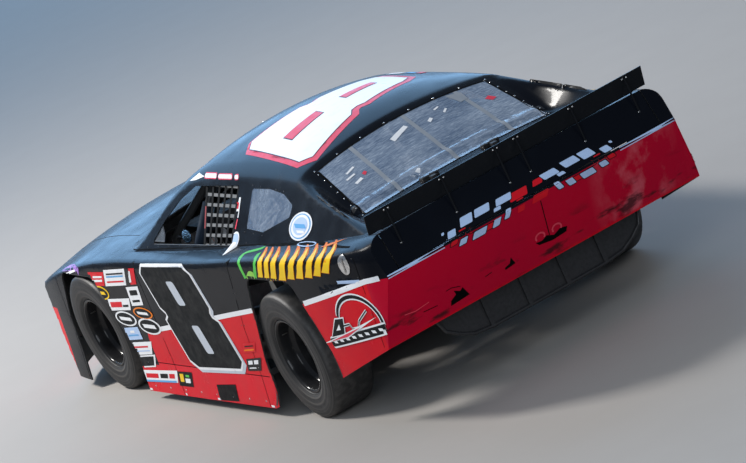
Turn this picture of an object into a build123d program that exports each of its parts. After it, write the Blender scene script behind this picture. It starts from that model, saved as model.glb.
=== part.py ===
"""Short-track stock car: composite body panels on a steel perimeter frame with a roll cage.

+X points forward, +Y to the car's left and +Z up. The origin is on the ground, half way along
the car. Lengths are in millimetres. Places along the car are given as a distance ahead of the
rear axle and turned into X by ahead().
"""
from build123d import *
import os

os.makedirs("parts", exist_ok=True)

# Overall
wheelbase = 2667
rear_overhang = 1330
front_overhang = 1053
length = wheelbase + rear_overhang + front_overhang
tail_end = -rear_overhang
nose_end = wheelbase + front_overhang
rear_axle_x = rear_overhang - length / 2

# Wheels
tyre_radius = 345
tyre_width = 254
tyre_face_y = 953
rim_radius = 190.5
rim_lip = 12
rim_wall = 8
rim_drop = 20
axle_z = tyre_radius
wheel_y = tyre_face_y - tyre_width / 2
hub_radius = 60
spindle_radius = 28
spindle_clearance = 0.05
disc_radius = 150
disc_thickness = 22
wheel_disc_thickness = 12

# Body
wall = 8
seam = 5
glass_gap = 0.3
glass_thickness = 6
far = 1200
tall = 1400
behind_tail = tail_end - 170
beyond_nose = nose_end + 80

# Panel splits, ahead of the rear axle
tail_split = tail_end + 200
door_rear = 385
door_front = 1660
nose_split = wheelbase + 418
hood_rear = 2125
hood_front = wheelbase + 533
hood_half_rear = 700
hood_half_front = 640
lid_front = -705
lid_half = 765
lid_half_front = 560
lid_half_rear = 600
lid_bottom = 800
hood_cut_bottom = 400
lid_cut_bottom = 700
arch_depth = 480
windshield_bottom = 815
rear_window_bottom = 900

# Surface hinges of the hood and the boot lid
hinge_y = 180
hinge_width = 30
hinge_barrel = 6
hinge_pin = 3
hinge_reach = 45
hinge_drop = 20

# The roof piece starts above this sloping line, given at two places
beltline_front = (1870, 836)
beltline_rear = (-1050, 940)

# Steering
kingpin_y = 660
steer_arm = 140
steer_z = 300
tie_pin_radius = 8
tie_eye_radius = 18
tie_eye_wall = 9
tie_eye_half = 10
rack_radius = 14

# Engine
engine_bottom = 190
engine_half = 250

# Driver's controls
driver_y = 400
wheel_hub = (1290, 800)
column_foot = (1900, 640)
steering_wheel_radius = 185

# Frame
rail_y = 640
rail_width = 50
rail_height = 100
rail_bottom = 130
rail_front = 1960
rail_rear = 480
front_rail_y = 360
front_rail_bottom = 150
front_rail_end = wheelbase + 663
rear_rail_y = 420
rear_rail_bottom = 470
rear_rail_height = 80
rear_rail_end = tail_end + 270
cage_tube = 22
cage_joint = 23
cage_hoop = 550
cage_front = 1905
floor_z = rail_bottom + rail_height
sheet = 4
fit_gap = 0.3
outriggers = [700, 1200, 1600, 1900]
outrigger_top = 190
outrigger_height = 30
nose_bar_half = 921
tail_bar_half = 912.2
tail_stub_end = tail_end + 161.5
tow_lug = 12
tow_hole = 14
tow_hole_out = 66
tower_top = 520


def ahead(distance):
    """X of a place that far ahead of the rear axle."""
    return rear_axle_x + distance


def beltline(distance):
    """Height of the roof piece's lower edge."""
    (x0, z0), (x1, z1) = beltline_front, beltline_rear
    return z0 + (z1 - z0) * (x0 - distance) / (x0 - x1)


def save(piece, name):
    """Label one finished piece and write it."""
    piece.part.label = name
    export_step(piece.part, f"parts/{name}.step")


def rod(start, end, radius):
    """A round bar between two points, in the part being built."""
    run = Vector(*end) - Vector(*start)
    with Locations(Plane(origin=Vector(*start), z_dir=run).location):
        Cylinder(radius, run.length, align=(Align.CENTER, Align.CENTER, Align.MIN))


def block(x_range, y_range, z_range, mode=Mode.ADD):
    """A box between low and high corners, x as a distance ahead of the rear axle."""
    x0, x1 = x_range
    y0, y1 = y_range
    z0, z1 = z_range
    with Locations((ahead((x0 + x1) / 2), (y0 + y1) / 2, (z0 + z1) / 2)):
        Box(x1 - x0, y1 - y0, z1 - z0, mode=mode)


# Lower body: sections of straight sides and a crowned top. Each row gives the place, the half
# widths of the skirt, the sill and the belt, the belt's height, the deck's half width and height,
# and the crown's height
lower_stations = [
    (tail_end - 15, 890, 885, 826, 925, 800, 985, 990),
    (tail_end + 169, 945, 940, 880, 925, 790, 968, 975),
    (-600, 975, 970, 945, 900, 800, 925, 958),
    (0, 988, 978, 960, 886, 815, 902, 925),
    (900, 996, 980, 966, 842, 845, 858, 875),
    (1500, 998, 982, 966, 826, 850, 842, 862),
    (1900, 998, 982, 962, 815, 800, 836, 872),
    (wheelbase - 367, 997, 980, 955, 792, 740, 820, 866),
    (wheelbase, 994, 976, 945, 752, 715, 790, 842),
    (wheelbase + 418, 985, 960, 920, 680, 690, 730, 788),
    (wheelbase + 753, 960, 935, 890, 600, 660, 648, 702),
    (nose_end + 5, 930, 900, 860, 490, 620, 528, 570),
]
skirt_z = 55
sill_z = 232


def lower_value(distance, column):
    """One column of the lower body's table at a place between its rows."""
    for rear, front in zip(lower_stations, lower_stations[1:]):
        if rear[0] <= distance <= front[0]:
            share = (distance - rear[0]) / (front[0] - rear[0])
            value = rear[column] + (front[column] - rear[column]) * share
    return value


def skirt_half(distance, height):
    """Half width of the lower body at a height between the skirt and the sill."""
    skirt = lower_value(distance, 1)
    sill = lower_value(distance, 2)
    return skirt + (sill - skirt) * (height - skirt_z) / (sill_z - skirt_z)


def crown_height(distance):
    """Height of the lower body's crowned top on the car's centre plane."""
    return lower_value(distance, 7)


# Side view of the tail, nose and underside: ahead of the rear axle, height
tail_line = [(tail_end + 169, 437), (tail_end, 785), (tail_end + 82, 992), (tail_end + 82, tall)]
nose_line = [
    (nose_end - 220, tall),
    (nose_end - 130, 640),
    (nose_end - 30, 520),
    (nose_end, 400),
    (nose_end, 250),
    (nose_end - 30, 110),
]
underside_line = [
    (nose_end - 120, 75),
    (wheelbase + 393, 58),
    (wheelbase - 497, skirt_z),
    (455, skirt_z),
    (-545, 272),
]
below_ground = -200
nose_plan = [(wheelbase + 233, 1000), (front_rail_end, 930), (nose_end - 140, 730)]

# Greenhouse: sections with leaning sides, a roof rail and a crowned top. Each row gives the
# place, the side's top edge height, the half width and height of the glass or roof edge, and
# the crown's height
cab_stations = [
    (2090, 806, 760, 812, 858),
    (1880, 832, 745, 868, 962),
    (1720, 905, 715, 935, 1036),
    (1580, 1000, 655, 1026, 1104),
    (1470, 1062, 615, 1086, 1152),
    (1330, 1116, 575, 1142, 1208),
    (1210, 1140, 548, 1170, 1240),
    (1000, 1154, 535, 1188, 1264),
    (600, 1164, 525, 1200, 1282),
    (200, 1160, 530, 1194, 1274),
    (-110, 1150, 548, 1170, 1232),
    (-150, 1143, 552, 1156, 1216),
    (-380, 1102, 570, 1056, 1100),
    (-650, 1055, 588, 950, 972),
    (-1060, 975, 620, 948, 958),
    (-1130, 958, 640, 940, 950),
]
cab_root = 70
cab_side_y = 835
cab_side_z = 867
cab_lean = 0.83


def cab_side(height):
    """Half width of the greenhouse's leaning side at a height."""
    return cab_side_y - cab_lean * (height - cab_side_z)


def lower_body(inset):
    """The lower body as one solid, with every face moved in by the inset."""
    with BuildPart() as solid:
        for d, skirt, sill, belt, belt_z, deck, deck_z, crown in lower_stations:
            low = skirt_z - 60 - inset
            with BuildSketch(Plane.YZ.offset(ahead(d))):
                with BuildLine():
                    right = [(-(skirt - inset), low), (-(skirt - inset), skirt_z), (-(sill - inset), sill_z)]
                    right += [(-(belt - inset), belt_z - inset / 2), (-(deck - inset), deck_z - inset)]
                    left = [(-y, z) for y, z in reversed(right)]
                    Polyline(*right)
                    ThreePointArc(right[-1], (0, crown - inset), left[0])
                    Polyline(*left)
                    Line(left[-1], right[0])
                make_face()
        loft(ruled=True)
        outline = tail_line + nose_line + underside_line
        if inset:
            tail_edge = [(d + inset, z) for d, z in tail_line]
            nose_edge = [(d - inset, z) for d, z in nose_line]
            low_rear = (tail_edge[0][0], below_ground)
            low_front = (nose_edge[-1][0], below_ground)
            outline = tail_edge + nose_edge + [low_front, low_rear]
        with BuildSketch(Plane.XZ):
            with BuildLine():
                Polyline(*[(ahead(d), z) for d, z in outline], close=True)
            make_face()
        extrude(amount=far, both=True, mode=Mode.INTERSECT)
        with BuildSketch(Plane.XY):
            with BuildLine():
                start, middle, end = [(ahead(d), y) for d, y in nose_plan]
                tip = (ahead(nose_end), 0)
                ThreePointArc(start, middle, end)
                ThreePointArc(end, tip, (end[0], -end[1]))
                ThreePointArc((end[0], -end[1]), (middle[0], -middle[1]), (start[0], -start[1]))
                back = ahead(behind_tail)
                Polyline((start[0], -start[1]), (start[0], -far), (back, -far))
                Polyline((back, -far), (back, far), (start[0], far), start)
            make_face()
            if inset:
                offset(amount=-inset)
        extrude(amount=tall, mode=Mode.INTERSECT)
    return solid.part


def cab_body(inset):
    """The greenhouse as one solid, with every face moved in by the inset."""
    with BuildPart() as solid:
        for d, ridge_z, edge_y, edge_z, crown in cab_stations:
            foot_z = beltline(d) - cab_root
            with BuildSketch(Plane.YZ.offset(ahead(d))):
                with BuildLine():
                    ridge_y = cab_side(ridge_z - inset) - inset
                    right = [(-(cab_side(foot_z) - inset), foot_z), (-ridge_y, ridge_z - inset)]
                    right += [(-(edge_y - inset / 2), edge_z - inset)]
                    left = [(-y, z) for y, z in reversed(right)]
                    Polyline(*right)
                    ThreePointArc(right[-1], (0, crown - inset), left[0])
                    Polyline(*left)
                    Line(left[-1], right[0])
                make_face()
        loft(ruled=True)
    return solid.part


def side_prism(points, y_from=0, y_to=far, radius=0):
    """A solid with this side view, points as (ahead of the rear axle, height)."""
    with BuildPart() as solid:
        with BuildSketch(Plane.XZ.offset(-y_from)):
            with BuildLine():
                Polyline(*[(ahead(d), z) for d, z in points], close=True)
            make_face()
            if radius:
                fillet(vertices(), radius)
        extrude(amount=-(y_to - y_from))
    return solid.part


def plan_prism(points, z_from=0, z_to=tall, radius=0):
    """A solid with this plan, points as (ahead of the rear axle, y)."""
    with BuildPart() as solid:
        with BuildSketch(Plane.XY.offset(z_from)):
            with BuildLine():
                Polyline(*[(ahead(d), y) for d, y in points], close=True)
            make_face()
            if radius:
                fillet(vertices(), radius)
        extrude(amount=z_to - z_from)
    return solid.part


# Skin of the whole car: the outside less a copy moved in by the wall
lower_outer = lower_body(0)
cab_outer = cab_body(0)
with BuildPart() as skin:
    add(lower_outer)
    add(cab_outer)
    add(lower_body(wall), mode=Mode.SUBTRACT)
    add(cab_body(wall), mode=Mode.SUBTRACT)

# Openings, as side views and plans
rear_arch = [(-560, -50), (-558, 410), (-375, 785), (148, 785), (350, 320), (362, 140), (470, -50)]
front_arch = [
    (wheelbase - 497, -50),
    (wheelbase - 517, 280),
    (wheelbase - 267, 702),
    (wheelbase + 263, 702),
    (wheelbase + 399, 430),
    (wheelbase + 395, -50),
]
arch_radius = 90
door_window = [(520, 884), (606, 1122), (1190, 1112), (1360, 1050), (1500, 965), (1610, 866)]
quarter_window = [(425, 1112), (200, 1114), (10, 1096), (-125, 1056), (-120, 1008), (170, 945), (385, 955)]
window_radius = 14
windshield_plan = [(1250, 515), (1760, 640), (1895, 600), (2018, 300), (2052, 0)]
rear_window_plan = [(-175, 505), (-640, 545)]


def mirrored(plan):
    """A plan's points on the left, then their mirror images on the right in reverse."""
    return plan + [(d, -y) for d, y in reversed(plan) if y]


with BuildPart() as window_cuts:
    add(side_prism(door_window, -far, far, window_radius))
    add(side_prism(quarter_window, -far, far, window_radius))
    add(plan_prism(mirrored(windshield_plan), windshield_bottom))
    add(plan_prism(mirrored(rear_window_plan), rear_window_bottom))

with BuildPart() as arch_cuts:
    for arch in (rear_arch, front_arch):
        add(side_prism(arch, arch_depth, far, arch_radius))
        add(side_prism(arch, -far, -arch_depth, arch_radius))

with BuildPart() as body:
    add(skin.part)
    add(window_cuts.part, mode=Mode.SUBTRACT)
    add(arch_cuts.part, mode=Mode.SUBTRACT)


def lid_plan(grow):
    """Plan of the boot lid, narrow between the sail panels, larger by a gap all round."""
    return mirrored([
        (lid_front + grow, lid_half_front + grow),
        (tail_end + 245 + grow, lid_half_rear + grow),
        (tail_end + 185 + grow, lid_half + grow),
        (behind_tail, lid_half + grow),
    ])


def hood_plan(grow):
    """Plan of the hood, larger by a gap all round."""
    rear = (hood_rear - grow, hood_half_rear + grow)
    front = (hood_front + grow, hood_half_front + grow)
    return mirrored([rear, front])


roof_region = [
    (tail_split + fit_gap, beltline(tail_split)),
    (hood_rear - seam, beltline(hood_rear)),
    (hood_rear - seam, tall),
    (tail_split + fit_gap, tall),
]


def hinge_leaf(axis_d, axis_z, sense, ys, bore):
    """Barrels of a surface hinge with their leaf; sense is the leaf's side along the car."""
    with BuildPart() as leaf:
        for side in (1, -1):
            for y in ys:
                place = (ahead(axis_d), side * y, axis_z)
                with Locations(Location(place, (90, 0, 0))):
                    Cylinder(hinge_barrel, hinge_width)
                ends = sorted((axis_d, axis_d + sense * hinge_reach))
                wide = (side * y - hinge_width / 2, side * y + hinge_width / 2)
                block(ends, wide, (axis_z - hinge_drop, axis_z))
                if bore:
                    with Locations(Location(place, (90, 0, 0))):
                        Cylinder(bore, hinge_width, mode=Mode.SUBTRACT)
    return leaf.part


def hinge_pins(axis_d, axis_z):
    """The pins of one lid's two hinges."""
    with BuildPart() as pins:
        for side in (1, -1):
            with Locations(Location((ahead(axis_d), side * hinge_y, axis_z), (90, 0, 0))):
                Cylinder(hinge_pin, 3 * hinge_width)
    return pins.part


barrel_gap = 0.5
hinge_bore = hinge_pin + 0.05
outer_barrels = [hinge_y - hinge_width - barrel_gap, hinge_y + hinge_width + barrel_gap]
hood_axis = (hood_rear - seam / 2, 884)
lid_axis = (lid_front + seam / 2, 984)
with BuildPart() as roof:
    add(body.part)
    add(side_prism(roof_region, -far, far), mode=Mode.INTERSECT)
    add(plan_prism(lid_plan(seam), lid_cut_bottom), mode=Mode.SUBTRACT)
    for (d, z), sense in ((hood_axis, -1), (lid_axis, 1)):
        add(hinge_leaf(d, z, sense, outer_barrels, 0))
        add(hinge_pins(d, z))
save(roof, "roof")

with BuildPart() as hood:
    add(body.part)
    add(plan_prism(hood_plan(0), hood_cut_bottom), mode=Mode.INTERSECT)
    add(hinge_leaf(*hood_axis, 1, [hinge_y], hinge_bore))
save(hood, "hood")

with BuildPart() as deck_lid:
    add(body.part)
    add(plan_prism(lid_plan(0), lid_bottom), mode=Mode.INTERSECT)
    add(hinge_leaf(*lid_axis, -1, [hinge_y], hinge_bore))
save(deck_lid, "deck_lid")

# Lower panels by their side views; fixed neighbours meet face to face
quarter_region = [
    (tail_split + fit_gap, 0),
    (door_rear + 130 - fit_gap, 0),
    (door_rear + 60 - fit_gap, 500),
    (door_rear - 75 - fit_gap, 890),
    (door_rear - 75 - fit_gap, beltline(door_rear - 75) - fit_gap),
    (tail_split + fit_gap, beltline(tail_split) - fit_gap),
]
door_region = [
    (door_rear + 130, 0),
    (door_front, 0),
    (door_front, beltline(door_front) - fit_gap),
    (door_rear - 75, beltline(door_rear - 75) - fit_gap),
    (door_rear - 75, 890),
    (door_rear + 60, 500),
]
fender_region = [
    (door_front + fit_gap, 0),
    (nose_split, 0),
    (nose_split, tall),
    (hood_rear, tall),
    (hood_rear, beltline(hood_rear) - fit_gap),
    (door_front + fit_gap, beltline(door_front) - fit_gap),
]
nose_back = nose_split + fit_gap
nose_region = [(nose_back, 0), (beyond_nose, 0), (beyond_nose, tall), (nose_back, tall)]
tail_region = [(tail_split, 0), (tail_split, tall), (behind_tail, tall), (behind_tail, 0)]

exhaust_exit = 760
exhaust_z = 98
exhaust_pitch = 74
exhaust_radius = 29
exhaust_slot_width = 2 * exhaust_radius + 8
exhaust_slot_reach = 120
panel_inner_y = 200

side_panels = {"quarter": quarter_region, "door": door_region, "fender": fender_region}
for panel, region in side_panels.items():
    for side, low, high in (("left", panel_inner_y, far), ("right", -far, -panel_inner_y)):
        with BuildPart() as piece:
            add(body.part)
            add(side_prism(region, low, high), mode=Mode.INTERSECT)
            if panel == "fender":
                add(plan_prism(hood_plan(seam), 0), mode=Mode.SUBTRACT)
            if panel == "quarter":
                add(plan_prism(lid_plan(seam), lid_cut_bottom), mode=Mode.SUBTRACT)
            if (panel, side) == ("door", "right"):
                for step in (0, exhaust_pitch):
                    with BuildSketch(Plane.XZ.offset(rail_y + rail_width)):
                        with Locations((ahead(exhaust_exit + step), exhaust_z)):
                            SlotCenterToCenter(exhaust_slot_reach, exhaust_slot_width, rotation=90)
                    extrude(amount=far - rail_y, mode=Mode.SUBTRACT)
        save(piece, f"{panel}_{side}")

# Nose: a full-width bumper cover with a main air inlet and a lower slot
inlet_half = 400
inlet_low = 290
inlet_high = 400
lower_inlet_half = 480
lower_inlet_low = 120
lower_inlet_high = 225
inlet_corner = 25
inlet_start = nose_end - 420
with BuildPart() as nose:
    add(body.part)
    add(side_prism(nose_region, -far, far), mode=Mode.INTERSECT)
    add(plan_prism(hood_plan(seam), hood_cut_bottom), mode=Mode.SUBTRACT)
    for half, low, high in (
        (inlet_half, inlet_low, inlet_high),
        (lower_inlet_half, lower_inlet_low, lower_inlet_high),
    ):
        with BuildSketch(Plane.YZ.offset(ahead(inlet_start))):
            with Locations((0, (low + high) / 2)):
                RectangleRounded(2 * half, high - low, inlet_corner)
        extrude(amount=beyond_nose - inlet_start, mode=Mode.SUBTRACT)
save(nose, "nose")

with BuildPart() as tail:
    add(body.part)
    add(side_prism(tail_region, -far, far), mode=Mode.INTERSECT)
    add(plan_prism(lid_plan(seam), lid_bottom - seam), mode=Mode.SUBTRACT)
save(tail, "tail")

# Glazing: flush panes cut from the same skin, a little smaller than their openings
with BuildPart() as cab_skin:
    add(cab_outer)
    add(cab_body(glass_thickness), mode=Mode.SUBTRACT)


def inward(plan, gap):
    """The plan of a pane that clears the opening by the gap on every side."""
    with BuildPart() as solid:
        with BuildSketch(Plane.XY.offset(windshield_bottom)):
            with BuildLine():
                Polyline(*[(ahead(d), y) for d, y in mirrored(plan)], close=True)
            make_face()
            offset(amount=-gap)
        extrude(amount=tall - windshield_bottom)
    return solid.part


with BuildPart() as windshield:
    add(cab_skin.part)
    add(inward(windshield_plan, glass_gap), mode=Mode.INTERSECT)
    add(lower_outer, mode=Mode.SUBTRACT)
save(windshield, "windshield")

with BuildPart() as rear_window:
    add(cab_skin.part)
    add(inward(rear_window_plan, glass_gap), mode=Mode.INTERSECT)
save(rear_window, "rear_window")

with BuildPart() as quarter_windows:
    add(cab_skin.part)
    with BuildSketch(Plane.XZ.offset(-far)):
        with BuildLine():
            Polyline(*[(ahead(d), z) for d, z in quarter_window], close=True)
        make_face()
        fillet(vertices(), window_radius)
        offset(amount=-glass_gap)
    extrude(amount=2 * far, mode=Mode.INTERSECT)
save(quarter_windows, "quarter_windows")

# Spoiler: a leaning blade on the boot lid, with six braces down to the lid's rear face
spoiler_half = 810
blade_foot = tail_end + 84
blade_top = tail_end + 46
blade_height = 1087
blade = 5
foot_depth = 41
brace_radius = 5
brace_ys = [690, 370, 58, -62, -385, -705]
brace_foot_d = tail_end + 39
brace_foot_z = 897
foot_start = blade_foot + 2
foot_end = blade_foot + foot_depth
foot_low_rear = crown_height(foot_start) + fit_gap
foot_low_front = crown_height(foot_end) + fit_gap
foot_thick = 8
foot_half = lid_half - 30
brace_top_d = blade_top + 4
brace_top_z = blade_height - 14
with BuildPart() as spoiler:
    with BuildSketch(Plane.XZ.offset(-spoiler_half)):
        with BuildLine():
            Polyline(
                (ahead(blade_foot), foot_low_rear + foot_thick / 2),
                (ahead(blade_top), blade_height),
                (ahead(blade_top + blade), blade_height),
                (ahead(blade_foot + blade), foot_low_rear + foot_thick / 2),
                close=True,
            )
        make_face()
    extrude(amount=2 * spoiler_half)
    with BuildSketch(Plane.XZ.offset(-foot_half)):
        with BuildLine():
            Polyline(
                (ahead(foot_start), foot_low_rear),
                (ahead(blade_foot), foot_low_rear + foot_thick),
                (ahead(foot_end), foot_low_front + foot_thick),
                (ahead(foot_end), foot_low_front),
                close=True,
            )
        make_face()
    extrude(amount=2 * foot_half)
    for y in brace_ys:
        top = Vector(ahead(brace_top_d), y, brace_top_z)
        foot = Vector(ahead(brace_foot_d), y, brace_foot_z)
        with BuildSketch(Plane(origin=foot, z_dir=top - foot)):
            Circle(brace_radius)
        extrude(amount=(top - foot).length)
save(spoiler, "spoiler")


# Wheels
def wheel_sides():
    """Each wheel's name, X and side."""
    for end, x in (("front", ahead(wheelbase)), ("rear", ahead(0))):
        for side, sign in (("left", 1), ("right", -1)):
            yield f"{end}_{side}", x, sign


bead_gap = 0.3
half_rim = 112
lip_width = 6
well_half = 25
well_slope = 15
wall_offset = 4
bead_y = half_rim - lip_width - bead_gap
half_tyre = tyre_width / 2
tyre_profile = [
    (-bead_y, rim_radius + bead_gap),
    (-bead_y, rim_radius + rim_lip + 1),
    (-(half_tyre - 9), tyre_radius - 129),
    (-half_tyre, tyre_radius - 83),
    (-(half_tyre - 3), tyre_radius - 27),
    (-(half_tyre - 23), tyre_radius),
]
disc_inner = -122
hub_bore_end = -18
hub_out = 34
hub_root_radius = 75
hub_tip_radius = 66
for name, x, sign in wheel_sides():
    axis = Axis((x, 0, axle_z), (0, 1, 0))
    with BuildPart() as tyre:
        with BuildSketch(Plane.YZ.offset(x)):
            with BuildLine():
                half = [(sign * (wheel_y + y), axle_z + r) for y, r in tyre_profile]
                other = [(sign * (wheel_y - y), axle_z + r) for y, r in reversed(tyre_profile)]
                Polyline(*half, *other, close=True)
            make_face()
        revolve(axis=axis)
    save(tyre, f"tyre_{name}")

    with BuildPart() as rim:
        with BuildSketch(Plane.YZ.offset(x)):
            with BuildLine():
                seat = rim_radius
                drop = rim_radius - rim_drop
                half_outline = [
                    (well_half, drop),
                    (well_half + well_slope, seat),
                    (half_rim - lip_width, seat),
                    (half_rim - lip_width, seat + rim_lip),
                    (half_rim, seat + rim_lip),
                    (half_rim, seat - rim_wall),
                    (well_half + well_slope + wall_offset, seat - rim_wall),
                    (well_half + wall_offset, drop - rim_wall),
                ]
                outline = half_outline + [(-y, r) for y, r in reversed(half_outline)]
                Polyline(*[(sign * (wheel_y + y), axle_z + r) for y, r in outline], close=True)
            make_face()
        revolve(axis=axis)
        with BuildSketch(Plane.YZ.offset(x)):
            with BuildLine():
                disc_edge = drop - rim_wall + wall_offset
                hub = [
                    (disc_inner, spindle_radius),
                    (disc_inner, disc_radius),
                    (disc_inner + disc_thickness, disc_radius),
                    (disc_inner + disc_thickness, hub_radius),
                    (-wheel_disc_thickness, hub_radius),
                    (-wheel_disc_thickness, disc_edge),
                    (0, disc_edge),
                    (0, hub_root_radius),
                    (hub_out, hub_tip_radius),
                    (hub_out, 0),
                    (hub_bore_end, 0),
                    (hub_bore_end, spindle_radius),
                ]
                Polyline(*[(sign * (wheel_y + y), axle_z + r) for y, r in hub], close=True)
            make_face()
        revolve(axis=axis)
    save(rim, f"rim_{name}")


# Frame: a perimeter of side rails with body mounts, a front clip and a rear clip
half = rail_width / 2
cross_width = 50
bar_width = 40
stub_sides = (480, 520)
stub_height = 30
tow_lug_half = 22
tow_lug_end = tow_hole_out + 24
tow_rear_z = rear_rail_bottom + 55
tower_half = 110
saddle_half = 15
engine_bars = (wheelbase - 287, wheelbase + 213)
engine_bar_width = 60
rear_cross = -420
front_rail_top = front_rail_bottom + rail_height
rear_rail_top = rear_rail_bottom + rear_rail_height
steer_d = wheelbase + steer_arm


def tow_eye(start, reach, height):
    """A flat lug that reaches out from a bar's end at the car's middle, with an upright hole."""
    with BuildPart() as eye:
        ends = sorted((start, start + reach * tow_lug_end))
        block(ends, (-tow_lug_half, tow_lug_half), (height - tow_lug / 2, height + tow_lug / 2))
        with Locations((ahead(start + reach * tow_hole_out), 0, height)):
            Hole(tow_hole)
    return eye.part


with BuildPart() as frame_rails:
    for sign in (1, -1):
        sides = sorted((sign * (rail_y - half), sign * (rail_y + half)))
        block((rail_rear, rail_front), sides, (rail_bottom, floor_z))
        for d in outriggers:
            tip = skirt_half(d, outrigger_top) - wall - 2 * fit_gap
            reach = sorted((sign * rail_y, sign * tip))
            ends = (d - bar_width / 2, d + bar_width / 2)
            block(ends, reach, (outrigger_top - outrigger_height, outrigger_top))
    block((rail_front - cross_width, rail_front), (-rail_y, rail_y), (rail_bottom, floor_z))
    block((rail_rear, rail_rear + cross_width), (-rail_y, rail_y), (rail_bottom, floor_z))
save(frame_rails, "frame_rails")

with BuildPart() as front_clip:
    for sign in (1, -1):
        sides = sorted((sign * (front_rail_y - half), sign * (front_rail_y + half)))
        block((rail_front, front_rail_end), sides, (front_rail_bottom, front_rail_top))
        tower = (wheelbase - tower_half, wheelbase + tower_half)
        block(tower, sides, (front_rail_top, tower_top))
        saddle = (steer_d - saddle_half, steer_d + saddle_half)
        block(saddle, sides, (front_rail_top, steer_z - rack_radius - fit_gap))
    for d in engine_bars:
        under_engine = (front_rail_bottom, engine_bottom - fit_gap)
        block((d, d + engine_bar_width), (-front_rail_y, front_rail_y), under_engine)
    nose_bar = (-nose_bar_half, nose_bar_half)
    block((front_rail_end - bar_width, front_rail_end), nose_bar, (front_rail_bottom, front_rail_top))
    add(tow_eye(front_rail_end, 1, front_rail_bottom + rail_height / 2))
save(front_clip, "front_clip")

with BuildPart() as rear_clip:
    for sign in (1, -1):
        sides = sorted((sign * (rear_rail_y - half), sign * (rear_rail_y + half)))
        block((rear_rail_end, rail_rear + cross_width), sides, (rear_rail_bottom, rear_rail_top))
        block((rail_rear, rail_rear + cross_width), sides, (floor_z, rear_rail_top))
        stub = sorted(sign * y for y in stub_sides)
        block((tail_stub_end, rear_rail_end), stub, (rear_rail_bottom, rear_rail_bottom + stub_height))
    tail_bar = (-tail_bar_half, tail_bar_half)
    block((rear_rail_end, rear_rail_end + bar_width), tail_bar, (rear_rail_bottom, rear_rail_top))
    cross = (rear_cross, rear_cross + bar_width)
    block(cross, (-rear_rail_y, rear_rail_y), (rear_rail_bottom, rear_rail_top))
    add(tow_eye(rear_rail_end, -1, tow_rear_z))
save(rear_clip, "rear_clip")

# Roll cage: main hoop, halo, windshield legs, door bars and rear braces
knee_z = 330
shoulder_z = 800
hoop_bend_y = 690
hoop_top = (cage_hoop, 480, 1158)
halo_front = (1230, 480, 1132)
pillar_foot = (1790, rail_y, shoulder_z)
hoop_bend = (cage_hoop, hoop_bend_y, shoulder_z)
brace_end = (-700, rear_rail_y, rear_rail_top + cage_tube)
runs = [
    (hoop_bend, hoop_top),
    (hoop_top, halo_front),
    (halo_front, pillar_foot),
    (hoop_top, brace_end),
]
door_bars = [knee_z, 480, 640]
door_bow_y = 820
door_bow_rear = 850
door_bow_front = 1500
cross_bar_z = 640
roof_post_y = 250
roof_post_half = 15


def tube(path, sign):
    """Tubes from point to point on one side, points as (ahead of the rear axle, y, height)."""
    places = [(ahead(d), sign * y, z) for d, y, z in path]
    for start, end in zip(places, places[1:]):
        rod(start, end, cage_tube)


def joint(spot, sign):
    """The rounded node where two tubes meet."""
    with Locations((ahead(spot[0]), sign * spot[1], spot[2])):
        Sphere(cage_joint)


with BuildPart() as roof_posts:
    for d, y, z in (hoop_top, halo_front):
        for post_y in (-roof_post_y, roof_post_y):
            wide = (post_y - roof_post_half, post_y + roof_post_half)
            block((d - roof_post_half, d + roof_post_half), wide, (z, tall))
    add(cab_body(wall + fit_gap), mode=Mode.INTERSECT)
with BuildPart() as cage:
    add(roof_posts.part)
    for sign in (1, -1):
        for run in runs:
            tube(run, sign)
            for spot in run:
                joint(spot, sign)
        knee = (cage_hoop, rail_y, knee_z)
        ankle = (cage_front, rail_y, knee_z)
        tube([(cage_hoop, rail_y, floor_z), knee, hoop_bend], sign)
        tube([(cage_front, rail_y, floor_z), ankle, pillar_foot], sign)
        joint(knee, sign)
        joint(ankle, sign)
        for z in door_bars:
            share = (z - knee_z) / (shoulder_z - knee_z)
            hoop_spot = (cage_hoop, rail_y + (hoop_bend_y - rail_y) * share, z)
            leg_spot = (cage_front + (pillar_foot[0] - cage_front) * share, rail_y, z)
            rear_bow = (door_bow_rear, door_bow_y, z)
            front_bow = (door_bow_front, door_bow_y, z)
            tube([hoop_spot, rear_bow, front_bow, leg_spot], sign)
            joint(rear_bow, sign)
            joint(front_bow, sign)
    for d, y, z in (hoop_top, halo_front, pillar_foot):
        rod((ahead(d), -y, z), (ahead(d), y, z), cage_tube)
    cross_bar_share = (cross_bar_z - knee_z) / (shoulder_z - knee_z)
    cross_bar_y = rail_y + (hoop_bend_y - rail_y) * cross_bar_share
    hoop_x = ahead(cage_hoop)
    rod((hoop_x, -cross_bar_y, cross_bar_z), (hoop_x, cross_bar_y, cross_bar_z), cage_tube)
    with BuildSketch(Plane.XY.offset(rail_bottom)):
        Rectangle(2 * length, 2 * far)
    extrude(amount=rail_height, mode=Mode.SUBTRACT)
    with BuildPart(mode=Mode.PRIVATE) as rear_rails:
        for y in (rear_rail_y, -rear_rail_y):
            sides = (y - half - 5, y + half + 5)
            block((rear_rail_end, rail_rear + cross_width), sides, (rear_rail_bottom, rear_rail_top))
    add(rear_rails.part, mode=Mode.SUBTRACT)
save(cage, "roll_cage")

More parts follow.
